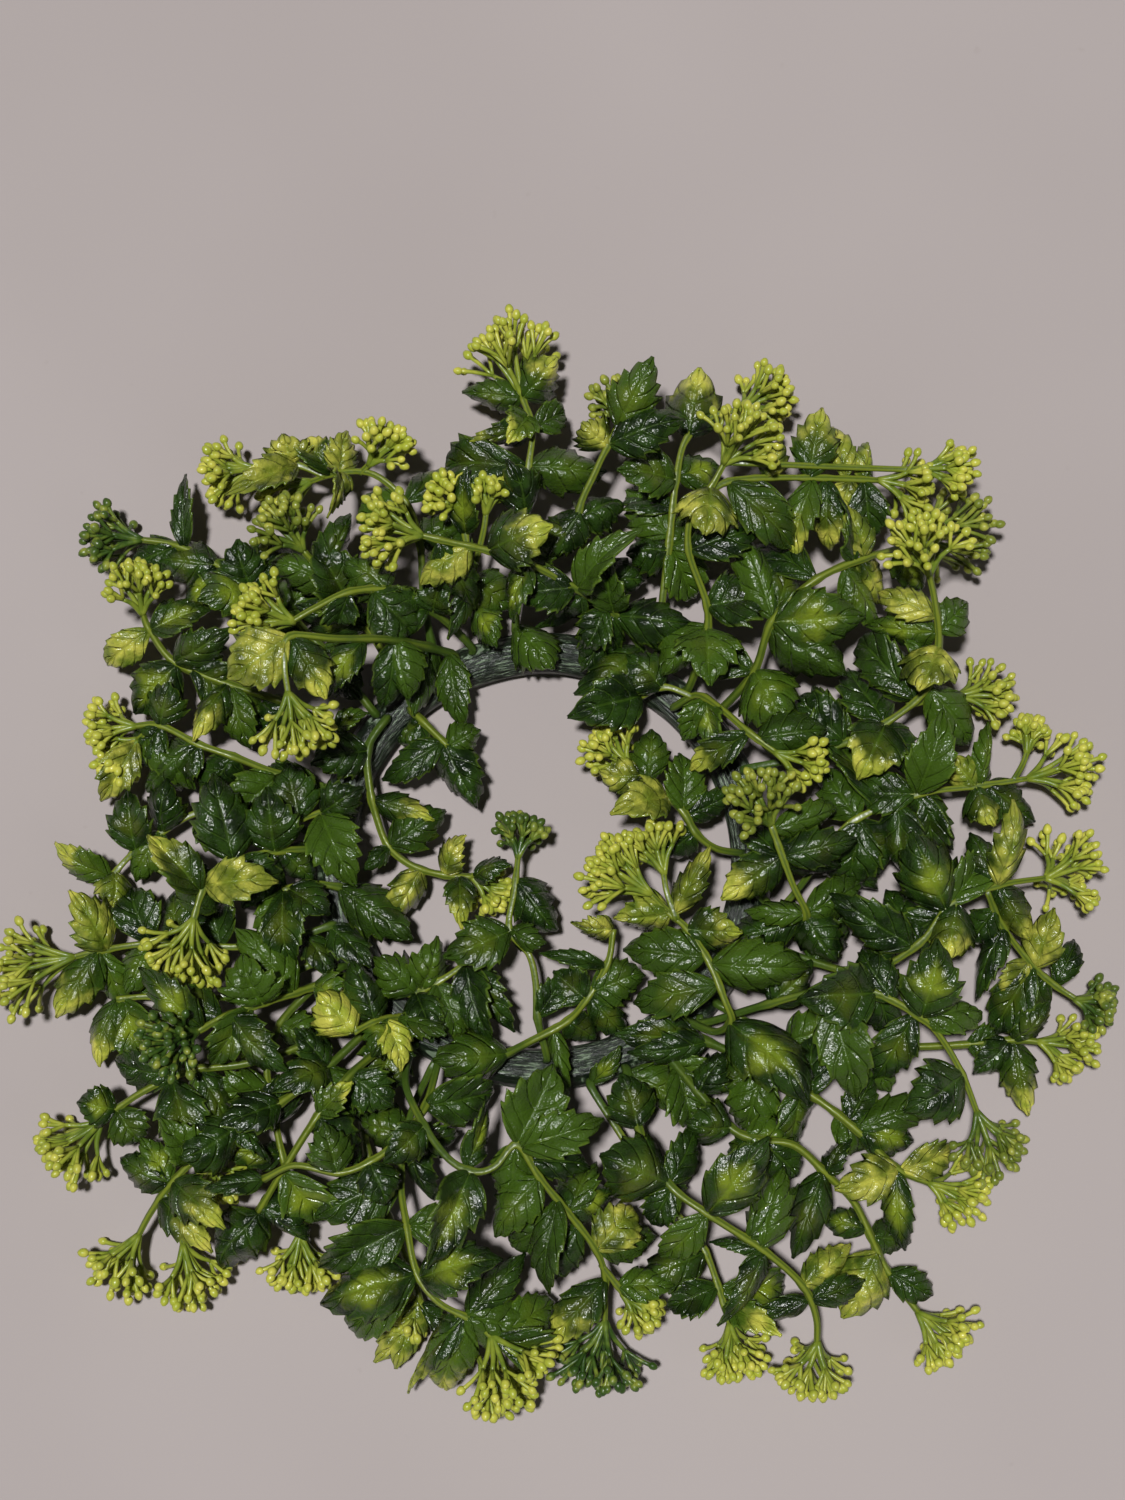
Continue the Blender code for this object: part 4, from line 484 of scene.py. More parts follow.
# right side of the opening, a stem that reaches up and left
add_sprig(
    [[(56, 2, 13.5), (49, 3, 20), (43.5, 7, 23), (40, 13, 24), (35, 17.5, 24), (28, 23.5, 22),
      (24, 27, 20)]],
    [(28, 23.5, 16, 25, 22, 10, "lime"), (35, 17.5, 19, 12, 24, 12, "lime"), (30, 22, 31, 37, 16, 10),
     (40, 13, 39, 30, 18, 12), (41, 12, 55, 20, 20, 9), (43, 7, 31, 1, 20, 10)],
    [(0, 18, 33, 17, 8)],
)
# right, over the ring, the green head that faces up
add_sprig(
    [[(61, -10, 13.5), (71, -19, 24), (74, -16, 32), (70, -8, 37), (66.5, 1, 40), (63.5, 9, 42)]],
    [(67, 0, 50, -12, 36, 13, "tip"), (67, 0, 88, 5, 34, 11), (74, -16, 57, -15, 26, 8),
     (74, -17, 83, -29, 30, 14), (72, -18, 52, -24, 20, 12), (66, 3, 84, -2, 25, 12),
     (67, -1, 58, 8, 24, 10), (74, -16, 90, -7, 20, 11), (64, 7, 82, 14, 26, 10)],
    [(0, 60, 16, 47, 12, "mixed")],
)
# upper right, over the ring, a straight stem to a small yellow head
add_sprig(
    [[(38, 44, 13.5), (44, 46.5, 22), (50, 42.5, 29), (58, 35, 34), (66, 29, 35)],
     [(43, 46, 20.6), (35, 49, 20), (28, 46.5, 18)]],
    [(28, 46.5, 7, 40, 17, 16), (46, 45, 50, 31, 24, 12, "blotch"), (46, 45, 40, 34, 19, 9),
     (58, 35, 42, 25, 24, 9, "tip"), (60, 33, 80, 36, 26, 12), (34, 49, 24, 58, 20, 13)],
    [(0, 75, 25, 34, 7)],
)
# left, over the ring, a short sprig of broad leaves
add_sprig(
    [[(-57, 13, 13.5), (-63, 13, 20), (-69, 11, 23)]],
    [(-63, 13, -51, 20, 25, 13), (-63, 12, -53, -8, 22, 14), (-69, 11, -72, 27, 18, 13)],
)
# left, another short sprig below it
add_sprig(
    [[(-58.5, -8, 13), (-66, -7, 19), (-74, -9, 22)]],
    [(-72, -9, -60, -16, 26, 13), (-58, -9, -37, -23, 15, 13), (-74, -9, -84, -22, 17, 12),
     (-74, -9, -70, -30, 8, 12)],
)
# lower left, over the ring, the bright yellow leaf
add_sprig(
    [[(-36, -45, 13.5), (-41, -45, 22), (-47, -46, 28), (-53, -49, 31)]],
    [(-53, -49, -63, -38, 33, 14, "yellow"), (-43, -45.5, -48, -56, 29, 12, "blotch"),
     (-41, -45, -27, -50, 24, 7), (-44, -46, -40, -60, 22, 10, "yellow"), (-47, -46, -54, -29, 25, 13)],
)


def finished(bm):
    """Returns the vertices and faces of a shape, its normals turned outward, and frees it."""
    bmesh.ops.remove_doubles(bm, verts=bm.verts, dist=0.001)
    bmesh.ops.recalc_face_normals(bm, faces=bm.faces)
    bm.verts.index_update()
    points = [v.co.copy() for v in bm.verts]
    faces = [[v.index for v in f.verts] for f in bm.faces]
    bm.free()
    return points, faces


def tube_shape(path, radii):
    """Returns a four-sided tube along the path, closed by flat ends."""
    data = bpy.data.curves.new("stem", "CURVE")
    data.dimensions = "3D"
    data.bevel_depth = 1.0
    data.bevel_resolution = 0
    data.use_fill_caps = True
    spline = data.splines.new("POLY")
    spline.points.add(len(path) - 1)
    for point, place, radius in zip(spline.points, path, radii):
        point.co = (*place, 1.0)
        point.radius = radius
    obj = bpy.data.objects.new("stem", data)
    bpy.context.scene.collection.objects.link(obj)
    graph = bpy.context.evaluated_depsgraph_get()
    mesh = bpy.data.meshes.new_from_object(obj.evaluated_get(graph))
    bm = bmesh.new()
    bm.from_mesh(mesh)
    bpy.data.objects.remove(obj)
    bpy.data.curves.remove(data)
    bpy.data.meshes.remove(mesh)
    return finished(bm)


def ring_shape():
    """Returns the ring's tube, resting on z = 0."""
    bpy.ops.mesh.primitive_torus_add(
        major_segments=RING_STEPS,
        minor_segments=TUBE_STEPS,
        major_radius=RING_RADIUS,
        minor_radius=TUBE_RADIUS,
        location=(0, 0, 0),
    )
    obj = bpy.context.object
    bm = bmesh.new()
    bm.from_mesh(obj.data)
    bpy.data.objects.remove(obj)
    bmesh.ops.translate(bm, verts=bm.verts, vec=(0, 0, FLAT_DROP))
    return finished(bm)


def seated_path(stem, ring_tree):
    """Returns the path of a sprig's main stem, from its seat on the tube."""
    root = Vector(stem[0])
    centre = Vector((root.x, root.y, 0)).normalized() * RING_RADIUS + Vector((0, 0, FLAT_DROP))
    way = (root - centre).normalized()
    skin = ring_tree.ray_cast(centre + way * 3 * TUBE_RADIUS, -way)[0]
    seat = skin + way * SEAT_GAP
    return [seat, seat + way * SEAT_RISE] + [Vector(p) for p in stem[1:]]


def nearest_on(paths, x, y):
    """Returns the point of the stems' centre lines that is nearest (x, y) in plan."""
    best = None
    for path in paths:
        for a, b in zip(path, path[1:]):
            run = Vector((b.x - a.x, b.y - a.y))
            share = 0.0
            if run.length > 0.01:
                share = max(0.0, min(1.0, run.dot(Vector((x - a.x, y - a.y))) / run.length_squared))
            point = a.lerp(b, share)
            away = (point.x - x) ** 2 + (point.y - y) ** 2
            if best is None or away < best[0]:
                best = (away, point)
    return best[1]


def leaf_shape(base, tip, width, swell=0.0):
    """Returns an arched blade from base to tip, made larger all round by swell."""
    along = tip - base
    length = along.length
    along.normalize()
    across = Vector((-along.y, along.x, 0)).normalized()
    up = along.cross(across)
    if up.z < 0:
        up.negate()
    half = width / 2 + swell
    arch = ARCH * length
    bm = bmesh.new()
    rows = []
    for run, side, rise in (
        (0.0, PETIOLE + swell, 0.0),
        (WIDEST_AT * length, half, arch),
        (SHOULDER_AT * length, half * SHOULDER_WIDTH, 0.8 * arch),
    ):
        middle = base + along * run + up * rise
        rows.append([bm.verts.new(middle - across * side), bm.verts.new(middle + across * side)])
    point = bm.verts.new(tip + along * swell)
    for low, high in zip(rows, rows[1:]):
        bm.faces.new((low[0], high[0], high[1], low[1]))
    bm.faces.new((rows[2][0], point, rows[2][1]))
    thick = BLADE + 2 * swell
    bmesh.ops.translate(bm, verts=bm.verts, vec=up * thick / 2)
    made = bmesh.ops.extrude_face_region(bm, geom=list(bm.faces))["geom"]
    bmesh.ops.translate(bm, verts=[v for v in made if isinstance(v, bmesh.types.BMVert)], vec=-up * thick)
    return finished(bm)


def head_shape(neck, front, radius, swell=0.0):
    """Returns a bud head: a cone from the stem's end to its front, closed by a low dome."""
    way = front - neck
    if way.length < 0.5 * radius:
        way = Vector((way.x, way.y, 0.8 * radius))
    way.normalize()
    reach = max((front - neck).length, 0.6 * radius) + swell
    wide = HEAD_WIDE * radius + swell
    bm = bmesh.new()
    bmesh.ops.create_cone(
        bm, cap_ends=True, segments=HEAD_SIDES, radius1=HEAD_NECK + swell, radius2=wide, depth=reach
    )
    top = max(bm.faces, key=lambda f: f.calc_center_median().z)
    peak = bmesh.ops.poke(bm, faces=[top])["verts"]
    bmesh.ops.translate(bm, verts=peak, vec=(0, 0, HEAD_DOME * radius + swell))
    turn = way.to_track_quat("Z", "Y").to_matrix()
    bmesh.ops.rotate(bm, verts=bm.verts, cent=(0, 0, 0), matrix=turn)
    bmesh.ops.translate(bm, verts=bm.verts, vec=neck + way * (reach / 2 - 0.6))
    return finished(bm)


def tree_of(shape):
    """Returns the shape as a tree that can be tested against others."""
    return BVHTree.FromPolygons(*shape)


def box_of(shape):
    """Returns the lowest and highest corner of the shape."""
    points = shape[0]
    return [[pick(p[k] for p in points) for k in range(3)] for pick in (min, max)]


def boxes_meet(a, b):
    """Tells whether two boxes share any room."""
    return all(a[0][k] <= b[1][k] and b[0][k] <= a[1][k] for k in range(3))


def meets(shape, others):
    """Tells whether the shape cuts through any of the others."""
    box = box_of(shape)
    near = [tree for other_box, tree in others if boxes_meet(box, other_box)]
    return bool(near) and any(tree_of(shape).overlap(tree) for tree in near)


def settled_leaf(leaf, paths, others):
    """Returns the leaf's base, tip and width at the first place where it is clear, or None."""
    x, y, tip_x, tip_y, tip_z, width = leaf[:6]
    base = nearest_on(paths, x, y)
    for share in WIDTHS:
        for swing in SWINGS:
            for shift in TIP_SHIFTS:
                reach = Vector((tip_x - base.x, tip_y - base.y))
                reach.rotate(Matrix.Rotation(math.radians(swing), 2))
                tip = Vector((base.x + reach.x, base.y + reach.y, tip_z + shift))
                shape = leaf_shape(base, tip, width * share, CLEAR)
                if box_of(shape)[0][2] < LOWEST - CLEAR:
                    continue
                if not meets(shape, others):
                    return base, tip, width * share
    return None


def laid_out(ring):
    """Returns every sprig with its stem paths, its heads and its settled leaves."""
    ring_tree = tree_of(ring)
    sprigs = []
    for row in SPRIGS:
        paths = [seated_path(row["stems"][0], ring_tree)]
        paths += [[Vector(p) for p in branch] for branch in row["stems"][1:]]
        for path in paths[1:]:
            path[0] = nearest_on(paths[:1], path[0].x, path[0].y)
        radii = []
        for number, path in enumerate(paths):
            thick = BRANCH_ROOT if number else STEM_ROOT
            last = len(path) - 1
            radii.append([thick + (STEM_END - thick) * k / last for k in range(last + 1)])
        heads = [(paths[n][-1], Vector((x, y, z)), r, shade) for n, x, y, z, r, shade in row["heads"]]
        sprigs.append({"paths": paths, "radii": radii, "heads": heads, "leaves": []})
    firm = []
    for sprig in sprigs:
        shapes = [tube_shape(path, radii) for path, radii in zip(sprig["paths"], sprig["radii"])]
        shapes += [head_shape(neck, front, radius) for neck, front, radius, _ in sprig["heads"]]
        firm.append([(box_of(s), tree_of(s)) for s in shapes])
    leaves = [[] for _ in sprigs]
    for number, (row, sprig) in enumerate(zip(SPRIGS, sprigs)):
        others = [(box_of(ring), ring_tree)]
        for other in range(len(sprigs)):
            if other != number:
                others += firm[other] + leaves[other]
        for leaf in row["leaves"]:
            settled = settled_leaf(leaf, sprig["paths"], others)
            if settled:
                sprig["leaves"].append((*settled, leaf[6]))
                shape = leaf_shape(*settled)
                leaves[number].append((box_of(shape), tree_of(shape)))
    return sprigs


# ---------------------------------------------------------------- materials

# Even light in the shadows, given by the world and by the far wall alike.
FILL = 0.028

# leaves
DEEP_GREEN = (0.005, 0.014, 0.0025)
MID_GREEN = (0.024, 0.058, 0.006)
FRESH_GREEN = (0.080, 0.155, 0.011)
# painted highlight for the blades' rims
GLOW_GREEN = (0.215, 0.285, 0.018)
RIM_HIGHLIGHT_GREEN = (0.150, 0.240, 0.020)
LIME = (0.360, 0.425, 0.040)
YELLOW = (0.640, 0.620, 0.095)
VEINS = 4.2
VEIN_ADVANCE = 0.30
VEIN_START = 0.15
VEIN_CURVE = 1.15

# stems
STEM_ROOT_GREEN = (0.045, 0.090, 0.009)
STEM_END_GREEN = (0.175, 0.220, 0.018)
STEM_DARK = (0.034, 0.072, 0.009)
STEM_FLECK = (0.10, 0.17, 0.018)
# painted shade for the furrows between the stems' ribs
STEM_FURROW_SHADE = (0.040, 0.080, 0.008)

# buds
BUD_LIME = (0.42, 0.47, 0.045)
BUD_YELLOW = (0.66, 0.63, 0.095)
# stalks: their own greener colour, darkened further as painted shade inside the head
STALK_GREEN = (0.12, 0.19, 0.016)
STALK_LIME = (0.25, 0.31, 0.028)
DULL_DEEP = (0.028, 0.070, 0.009)
DULL_FRESH = (0.095, 0.160, 0.020)

# ring
RING_DEEP = (0.003, 0.007, 0.003)
RING_GREEN = (0.014, 0.028, 0.010)
# painted glints for the ring's strands
RING_PAINTED_GLINT = (0.22, 0.29, 0.19)

# paper
PAPER_DARK = (0.400, 0.352, 0.342)
PAPER_PALE = (0.445, 0.395, 0.384)
PAPER_FLECK = (0.30, 0.25, 0.225)
FAR_PAPER = (0.420, 0.380, 0.370)


class Nodes:
    """Builds one material's node tree with short calls."""

    def __init__(self, name, base, roughness):
        self.material = bpy.data.materials.new(name)
        self.material.use_nodes = True
        self.material.diffuse_color = (*base, 1.0)
        self.tree = self.material.node_tree
        self.shader = self.tree.nodes["Principled BSDF"]
        self.set("Base Color", base)
        self.set("Roughness", roughness)

    def feed(self, socket, value):
        """Gives a socket a number, a colour or a link from another socket."""
        if isinstance(value, bpy.types.NodeSocket):
            self.tree.links.new(value, socket)
        elif isinstance(value, tuple):
            socket.default_value = (*value, 1.0)
        else:
            socket.default_value = value

    def set(self, name, value):
        """Feeds a socket of the shader."""
        self.feed(self.shader.inputs[name], value)

    def node(self, kind, inputs=None, **settings):
        """Adds a node; inputs maps a socket's name or number to what feeds it."""
        made = self.tree.nodes.new(kind)
        for key, value in settings.items():
            setattr(made, key, value)
        for key, value in (inputs or {}).items():
            self.feed(made.inputs[key], value)
        return made

    def math(self, operation, a, b=0.0, clamp=False):
        """Adds a math node and returns its output."""
        return self.node("ShaderNodeMath", {0: a, 1: b}, operation=operation, use_clamp=clamp).outputs[0]

    def ramp(self, value, low, high, out_low=0.0, out_high=1.0):
        """Maps low..high to out_low..out_high smoothly."""
        made = self.node(
            "ShaderNodeMapRange",
            {"Value": value, "From Min": low, "From Max": high, "To Min": out_low, "To Max": out_high},
            interpolation_type="SMOOTHSTEP",
        )
        return made.outputs["Result"]

    def mix(self, share, a, b):
        """Mixes two colours."""
        return self.node("ShaderNodeMix", {0: share, 6: a, 7: b}, data_type="RGBA").outputs[2]

    def attribute(self, name):
        """Returns a number that the mesh carries at each point."""
        return self.node("ShaderNodeAttribute", attribute_name=name).outputs["Fac"]

    def place(self):
        """Returns the object's own coordinates, in metres."""
        return self.node("ShaderNodeTexCoord").outputs["Object"]

    def noise(self, vector, scale, detail=2.0, roughness=0.5):
        """Returns a noise value in 0..1."""
        made = self.node(
            "ShaderNodeTexNoise",
            {"Vector": vector, "Scale": scale, "Detail": detail, "Roughness": roughness},
        )
        return made.outputs["Fac"]

    def bump(self, height, strength, distance):
        """Raises the surface by a height."""
        made = self.node("ShaderNodeBump", {"Height": height, "Strength": strength, "Distance": distance})
        self.set("Normal", made.outputs["Normal"])


def vein_distance(n, along, side):
    """Returns 0.5 on a side vein's line, falling to 0 halfway to the next one."""
    advance = n.math("MULTIPLY", n.math("POWER", side, VEIN_CURVE), VEIN_ADVANCE)
    count = n.math("MULTIPLY", n.math("SUBTRACT", along, advance), VEINS)
    count = n.math("ADD", count, VEIN_START)
    return n.math("ABSOLUTE", n.math("SUBTRACT", n.math("FRACT", count), 0.5))


def leaf_material():
    """Moulded leaf: dark green, sprayed lime in patches, with sunken veins and a painted highlight on the
    rim.
    """
    n = Nodes("leaf_plastic", MID_GREEN, 0.32)
    place = n.place()
    along = n.attribute("along")
    side = n.math("ABSOLUTE", n.attribute("side"))
    cloud = n.noise(place, 160.0, 3.0)
    fine = n.noise(place, 1100.0, 2.0)
    wander = n.math("MULTIPLY", n.math("SUBTRACT", cloud, 0.5), 1.3)

    body = n.mix(n.ramp(cloud, 0.32, 0.68), DEEP_GREEN, MID_GREEN)
    body = n.mix(n.ramp(n.attribute("tone"), 0.45, 1.0, 0.0, 0.55), body, FRESH_GREEN)

    # a paler patch in the middle of the blade
    middle = n.math("ABSOLUTE", n.math("SUBTRACT", along, 0.46))
    spot = n.math("ADD", n.math("MULTIPLY", middle, 2.2), n.math("MULTIPLY", side, 0.9))
    glow = n.ramp(n.math("ADD", spot, wander), 0.95, 0.05)
    glow = n.math("MULTIPLY", glow, n.attribute("patched"))
    colour = n.mix(glow, body, GLOW_GREEN)

    # lime on the tip, or over the whole blade
    end = n.ramp(n.math("ADD", along, n.math("MULTIPLY", wander, 0.6)), 0.45, 0.85)
    end = n.math("MULTIPLY", end, n.attribute("tipped"))
    over = n.ramp(n.math("ADD", n.attribute("limed"), n.math("MULTIPLY", wander, 0.8)), 0.30, 0.85)
    bright = n.mix(n.ramp(cloud, 0.35, 0.7), LIME, YELLOW)
    colour = n.mix(n.math("MAXIMUM", end, over, clamp=True), colour, bright)

    # paler veins, and a painted highlight along the rim
    away = vein_distance(n, along, side)
    lines = n.math("MAXIMUM", n.ramp(away, 0.43, 0.5), n.ramp(side, 0.10, 0.0))
    colour = n.mix(n.math("MULTIPLY", lines, 0.6), colour, n.mix(0.45, colour, FRESH_GREEN))
    # painted highlight: the rim lightened where it would catch the light
    colour = n.mix(n.ramp(side, 0.84, 1.0, 0.0, 0.45), colour, RIM_HIGHLIGHT_GREEN)
    n.set("Base Color", colour)
    n.set("Roughness", n.ramp(fine, 0.3, 0.7, 0.17, 0.27))
    n.set("Specular IOR Level", 0.66)

    sunken = n.math("MAXIMUM", n.ramp(away, 0.34, 0.5), n.ramp(side, 0.16, 0.0))
    pebble = n.noise(place, 1300.0, 2.0)
    dimple = n.noise(place, 420.0, 1.0)
    height = n.math("ADD", n.math("MULTIPLY", pebble, 1.7), dimple)
    n.bump(n.math("SUBTRACT", height, n.math("MULTIPLY", sunken, 2.0)), 0.9, 0.00024)
    return n.material


def stem_material():
    """Stem plastic: dark near the ring and yellow green towards the ends, grained lengthwise, with painted
    shade in its furrows.
    """
    n = Nodes("stem_plastic", (0.16, 0.27, 0.03), 0.38)
    place = n.place()
    cloud = n.noise(place, 70.0, 2.0)
    fine = n.noise(place, 900.0, 2.0)
    along = n.math("ADD", n.attribute("along"), n.math("MULTIPLY", n.math("SUBTRACT", cloud, 0.5), 0.9))
    colour = n.mix(n.ramp(along, 0.05, 0.6), STEM_ROOT_GREEN, STEM_END_GREEN)
    colour = n.mix(n.ramp(n.attribute("dark"), 0.2, 0.9), colour, STEM_DARK)
    colour = n.mix(n.ramp(fine, 0.55, 0.8, 0.0, 0.5), colour, STEM_FLECK)
    # painted shade: darker in the furrows between the ribs
    colour = n.mix(n.ramp(n.attribute("rib"), 0.2, -0.9, 0.0, 0.7), colour, STEM_FURROW_SHADE)
    n.set("Base Color", colour)
    n.set("Roughness", n.ramp(fine, 0.3, 0.7, 0.28, 0.46))
    n.bump(fine, 0.35, 0.0003)
    return n.material


def bud_material():
    """Bud plastic: yellow green balls on greener stalks that darken towards the head's inside, partly as
    painted shade; a few heads dark green.
    """
    n = Nodes("bud_plastic", (0.36, 0.42, 0.04), 0.36)
    place = n.place()
    cloud = n.noise(place, 220.0, 2.0)
    fine = n.noise(place, 1500.0, 2.0)
    bright = n.mix(n.ramp(cloud, 0.35, 0.7), BUD_LIME, BUD_YELLOW)
    # stalks greener and darker towards the head's inside: partly their own colour, partly painted shade
    stalk = n.mix(n.ramp(cloud, 0.3, 0.7), STALK_GREEN, STALK_LIME)
    colour = n.mix(n.ramp(n.attribute("along"), 0.35, 0.95), stalk, bright)
    dull = n.mix(n.ramp(cloud, 0.35, 0.65), DULL_DEEP, DULL_FRESH)
    gloom = n.math("MULTIPLY", n.attribute("dark"), n.ramp(cloud, 0.75, 0.45, 0.6, 1.0))
    n.set("Base Color", n.mix(gloom, colour, dull))
    n.set("Roughness", n.ramp(fine, 0.3, 0.7, 0.28, 0.45))
    n.bump(fine, 0.25, 0.0003)
    return n.material


def ring_material():
    """Ring plastic: very dark green with fine grain along the tube that catches the light, and painted
    glints on its strands.
    """
    n = Nodes("ring_plastic_grain", (0.012, 0.06, 0.03), 0.3)
    grain = n.node("ShaderNodeCombineXYZ", {"X": n.attribute("around"), "Y": n.attribute("across")})
    strands = n.noise(grain.outputs[0], 1.0, 4.0, 0.65)
    colour = n.mix(n.ramp(strands, 0.35, 0.7), RING_DEEP, RING_GREEN)
    # painted highlight: pale glints on the highest strands
    n.set("Base Color", n.mix(n.ramp(strands, 0.52, 0.62, 0.0, 0.8), colour, RING_PAINTED_GLINT))
    n.set("Roughness", n.ramp(strands, 0.3, 0.7, 0.36, 0.22))
    n.set("Specular IOR Level", 0.45)
    n.bump(strands, 1.0, 0.0006)
    return n.material


def floor_material():
    """Matt paper, a little warm, with faint creases."""
    n = Nodes("paper", (0.42, 0.375, 0.365), 0.85)
    place = n.place()
    colour = n.mix(n.ramp(n.noise(place, 3.0, 3.0), 0.3, 0.7), PAPER_DARK, PAPER_PALE)
    fleck = n.noise(place, 160.0, 2.0)
    n.set("Base Color", n.mix(n.ramp(fleck, 0.72, 0.8, 0.0, 0.15), colour, PAPER_FLECK))
    n.bump(n.noise(place, 5.0, 5.0, 0.55), 0.10, 0.01)
    return n.material


def backdrop_material():
    """Paper far away: pale where seen, mirrored or looked through; else it gives only the fill."""
    n = Nodes("far_paper", FAR_PAPER, 1.0)
    n.tree.nodes.remove(n.shader)
    path = n.node("ShaderNodeLightPath").outputs
    seen = n.math("ADD", path["Is Camera Ray"], path["Is Glossy Ray"])
    shown = n.math("ADD", seen, path["Is Transmission Ray"], clamp=True)
    fill = n.node("ShaderNodeEmission", {"Strength": FILL}).outputs[0]
    pale = n.node("ShaderNodeEmission", {"Color": FAR_PAPER, "Strength": 1.0}).outputs[0]
    either = n.node("ShaderNodeMixShader", {0: shown, 1: fill, 2: pale}).outputs[0]
    n.tree.links.new(either, n.tree.nodes["Material Output"].inputs["Surface"])
    return n.material


# ---------------------------------------------------------------- shapes

LEAF_ROWS = 27
LEAF_COLUMNS = 10
LEAF_SKIN = 0.6
# Most blades turn their edges down, some lie flat and a few fold up along the midrib.
CUPS = ((-1.1, -0.6), (-0.7, -0.2), (-0.3, 0.1), (0.1, 0.7))
QUILT = 0.70
# The round stem is slimmer than the CAD model's square one and swells where a leaf leaves it.
STEM_SLIM = 0.86
JOINT_SWELL = 0.32
JOINT_REACH = 1.7
STEM_RIBS = 0.10
STEM_SIDES = 16
STALK_SIDES = 7
TWIG_SIDES = 5
# Widths in a head, as radii: a ray from its root to its fork, a twig to its bud, and the buds.
RAY_RADII = (0.90, 0.62)
TWIG_RADII = (0.50, 0.78)
BUD_RADII = (1.1, 1.4)
GOLDEN_TURN = 2.399
RING_ROUNDS = 380
RING_SIDES = 72
STRANDS = 16
STRAND_HEIGHT = 0.13
STRAND_ROOM = 0.35

# How much lime a leaf shows: in its middle, on its tip and all over.
SHADES = {
    "dark": (0.0, 0.0, 0.0),
    "blotch": (0.95, 0.0, 0.0),
    "tip": (0.25, 1.0, 0.0),
    "lime": (0.5, 0.6, 0.52),
    "yellow": (0.6, 0.8, 0.95),
}

# How dark the buds of a head are.
GLOOMS = {"lime": 0.0, "mixed": 0.62, "dark": 0.85}


class Sheets:
    """Collects points, faces and values of several shapes that make one piece."""

    def __init__(self, keys):
        self.points = []
        self.faces = []
        self.values = {key: [] for key in keys}

    def add(self, points, faces, **values):
        """Adds one shape in millimetres; a value is one number or one per point."""
        start = len(self.points)
        self.points.extend(points)
        self.faces.extend([[start + k for k in face] for face in faces])
        for key, store in self.values.items():
            value = values[key]
            store.extend([value] * len(points) if np.ndim(value) == 0 else value)

    def piece(self, name, material):
        """Makes one smooth object, whose points carry the values."""
        mesh = bpy.data.meshes.new(name)
        mesh.from_pydata((np.asarray(self.points) * MM).tolist(), [], self.faces)
        for key, numbers in self.values.items():
            layer = mesh.attributes.new(key, "FLOAT", "POINT")
            layer.data.foreach_set("value", np.asarray(numbers, dtype=np.float32))
        mesh.shade_smooth()
        mesh.materials.append(material)
        obj = bpy.data.objects.new(name, mesh)
        bpy.context.scene.collection.objects.link(obj)
        return obj


def grid_faces(rows, columns, closed=False):
    """Returns the quads of a grid of points, whose rows may close into rings."""
    faces = []
    for r in range(rows - 1):
        for c in range(columns if closed else columns - 1):
            d = (c + 1) % columns
            faces.append([r * columns + c, r * columns + d, (r + 1) * columns + d, (r + 1) * columns + c])
    return faces


def smooth_path(path, steps):
    """Returns points of a smooth curve through the path, steps for each stretch."""
    ends = [path[0] * 2 - path[1], *path, path[-1] * 2 - path[-2]]
    out = []
    for a, b, c, d in zip(ends, ends[1:], ends[2:], ends[3:]):
        for j in range(steps):
            t = j / steps
            bend = (2 * a - 5 * b + 4 * c - d) * t**2
            out.append(0.5 * (2 * b + (c - a) * t + bend + (3 * b - a - 3 * c + d) * t**3))
    out.append(path[-1].copy())
    return out


def tube(path, radii, sides, ridge=0.0):
    """Returns a round tube along the path, closed by flat ends; ridge raises four ribs along it."""
    points = []
    run = (path[1] - path[0]).normalized()
    side = run.orthogonal().normalized()
    for k, place in enumerate(path):
        before = path[max(k - 1, 0)]
        after = path[min(k + 1, len(path) - 1)]
        way = (after - before).normalized()
        side = (side - way * side.dot(way)).normalized()
        other = way.cross(side)
        for j in range(sides):
            angle = 2 * math.pi * j / sides
            radius = radii[k] * (1 + ridge * math.cos(4 * angle))
            points.append(place + side * (radius * math.cos(angle)) + other * (radius * math.sin(angle)))
    faces = grid_faces(len(path), sides, True)
    faces.append(list(range(sides))[::-1])
    faces.append([len(points) - sides + j for j in range(sides)])
    return points, faces


def leaf_habit(length, width, rng):
    """Draws what sets one blade apart: how it rolls, bends and cups, and how its edge is toothed."""
    return SimpleNamespace(
        roll=rng.gauss(0.0, 0.42),
        bend=ARCH * length * rng.uniform(0.5, 2.2),
        droop=length * rng.uniform(0.0, 0.26),
        cup=rng.choice([rng.uniform(low, high) for low, high in CUPS]),
        swell=rng.uniform(0.08, 0.15) * width,
        skew=rng.gauss(0.0, 0.07) * length,
        wave=rng.uniform(0.02, 0.06) * width,
        phase=rng.uniform(0, 6.28),
        fat=rng.uniform(1.04, 1.20),
        teeth=rng.choice((4, 5, 5, 6)),
        deep=rng.uniform(0.20, 0.38),
        broad=rng.uniform(0.36, 0.44),
    )


def blade_profile(t, broad):
    """Returns the share of its full width that a blade has at t; broad is where it is widest."""
    if t < broad:
        return math.sin(0.5 * math.pi * t / broad) ** 0.75
    reach = (t - broad) / (1 - broad)
    return (1 - reach**1.9) * (1 - 0.12 * reach)


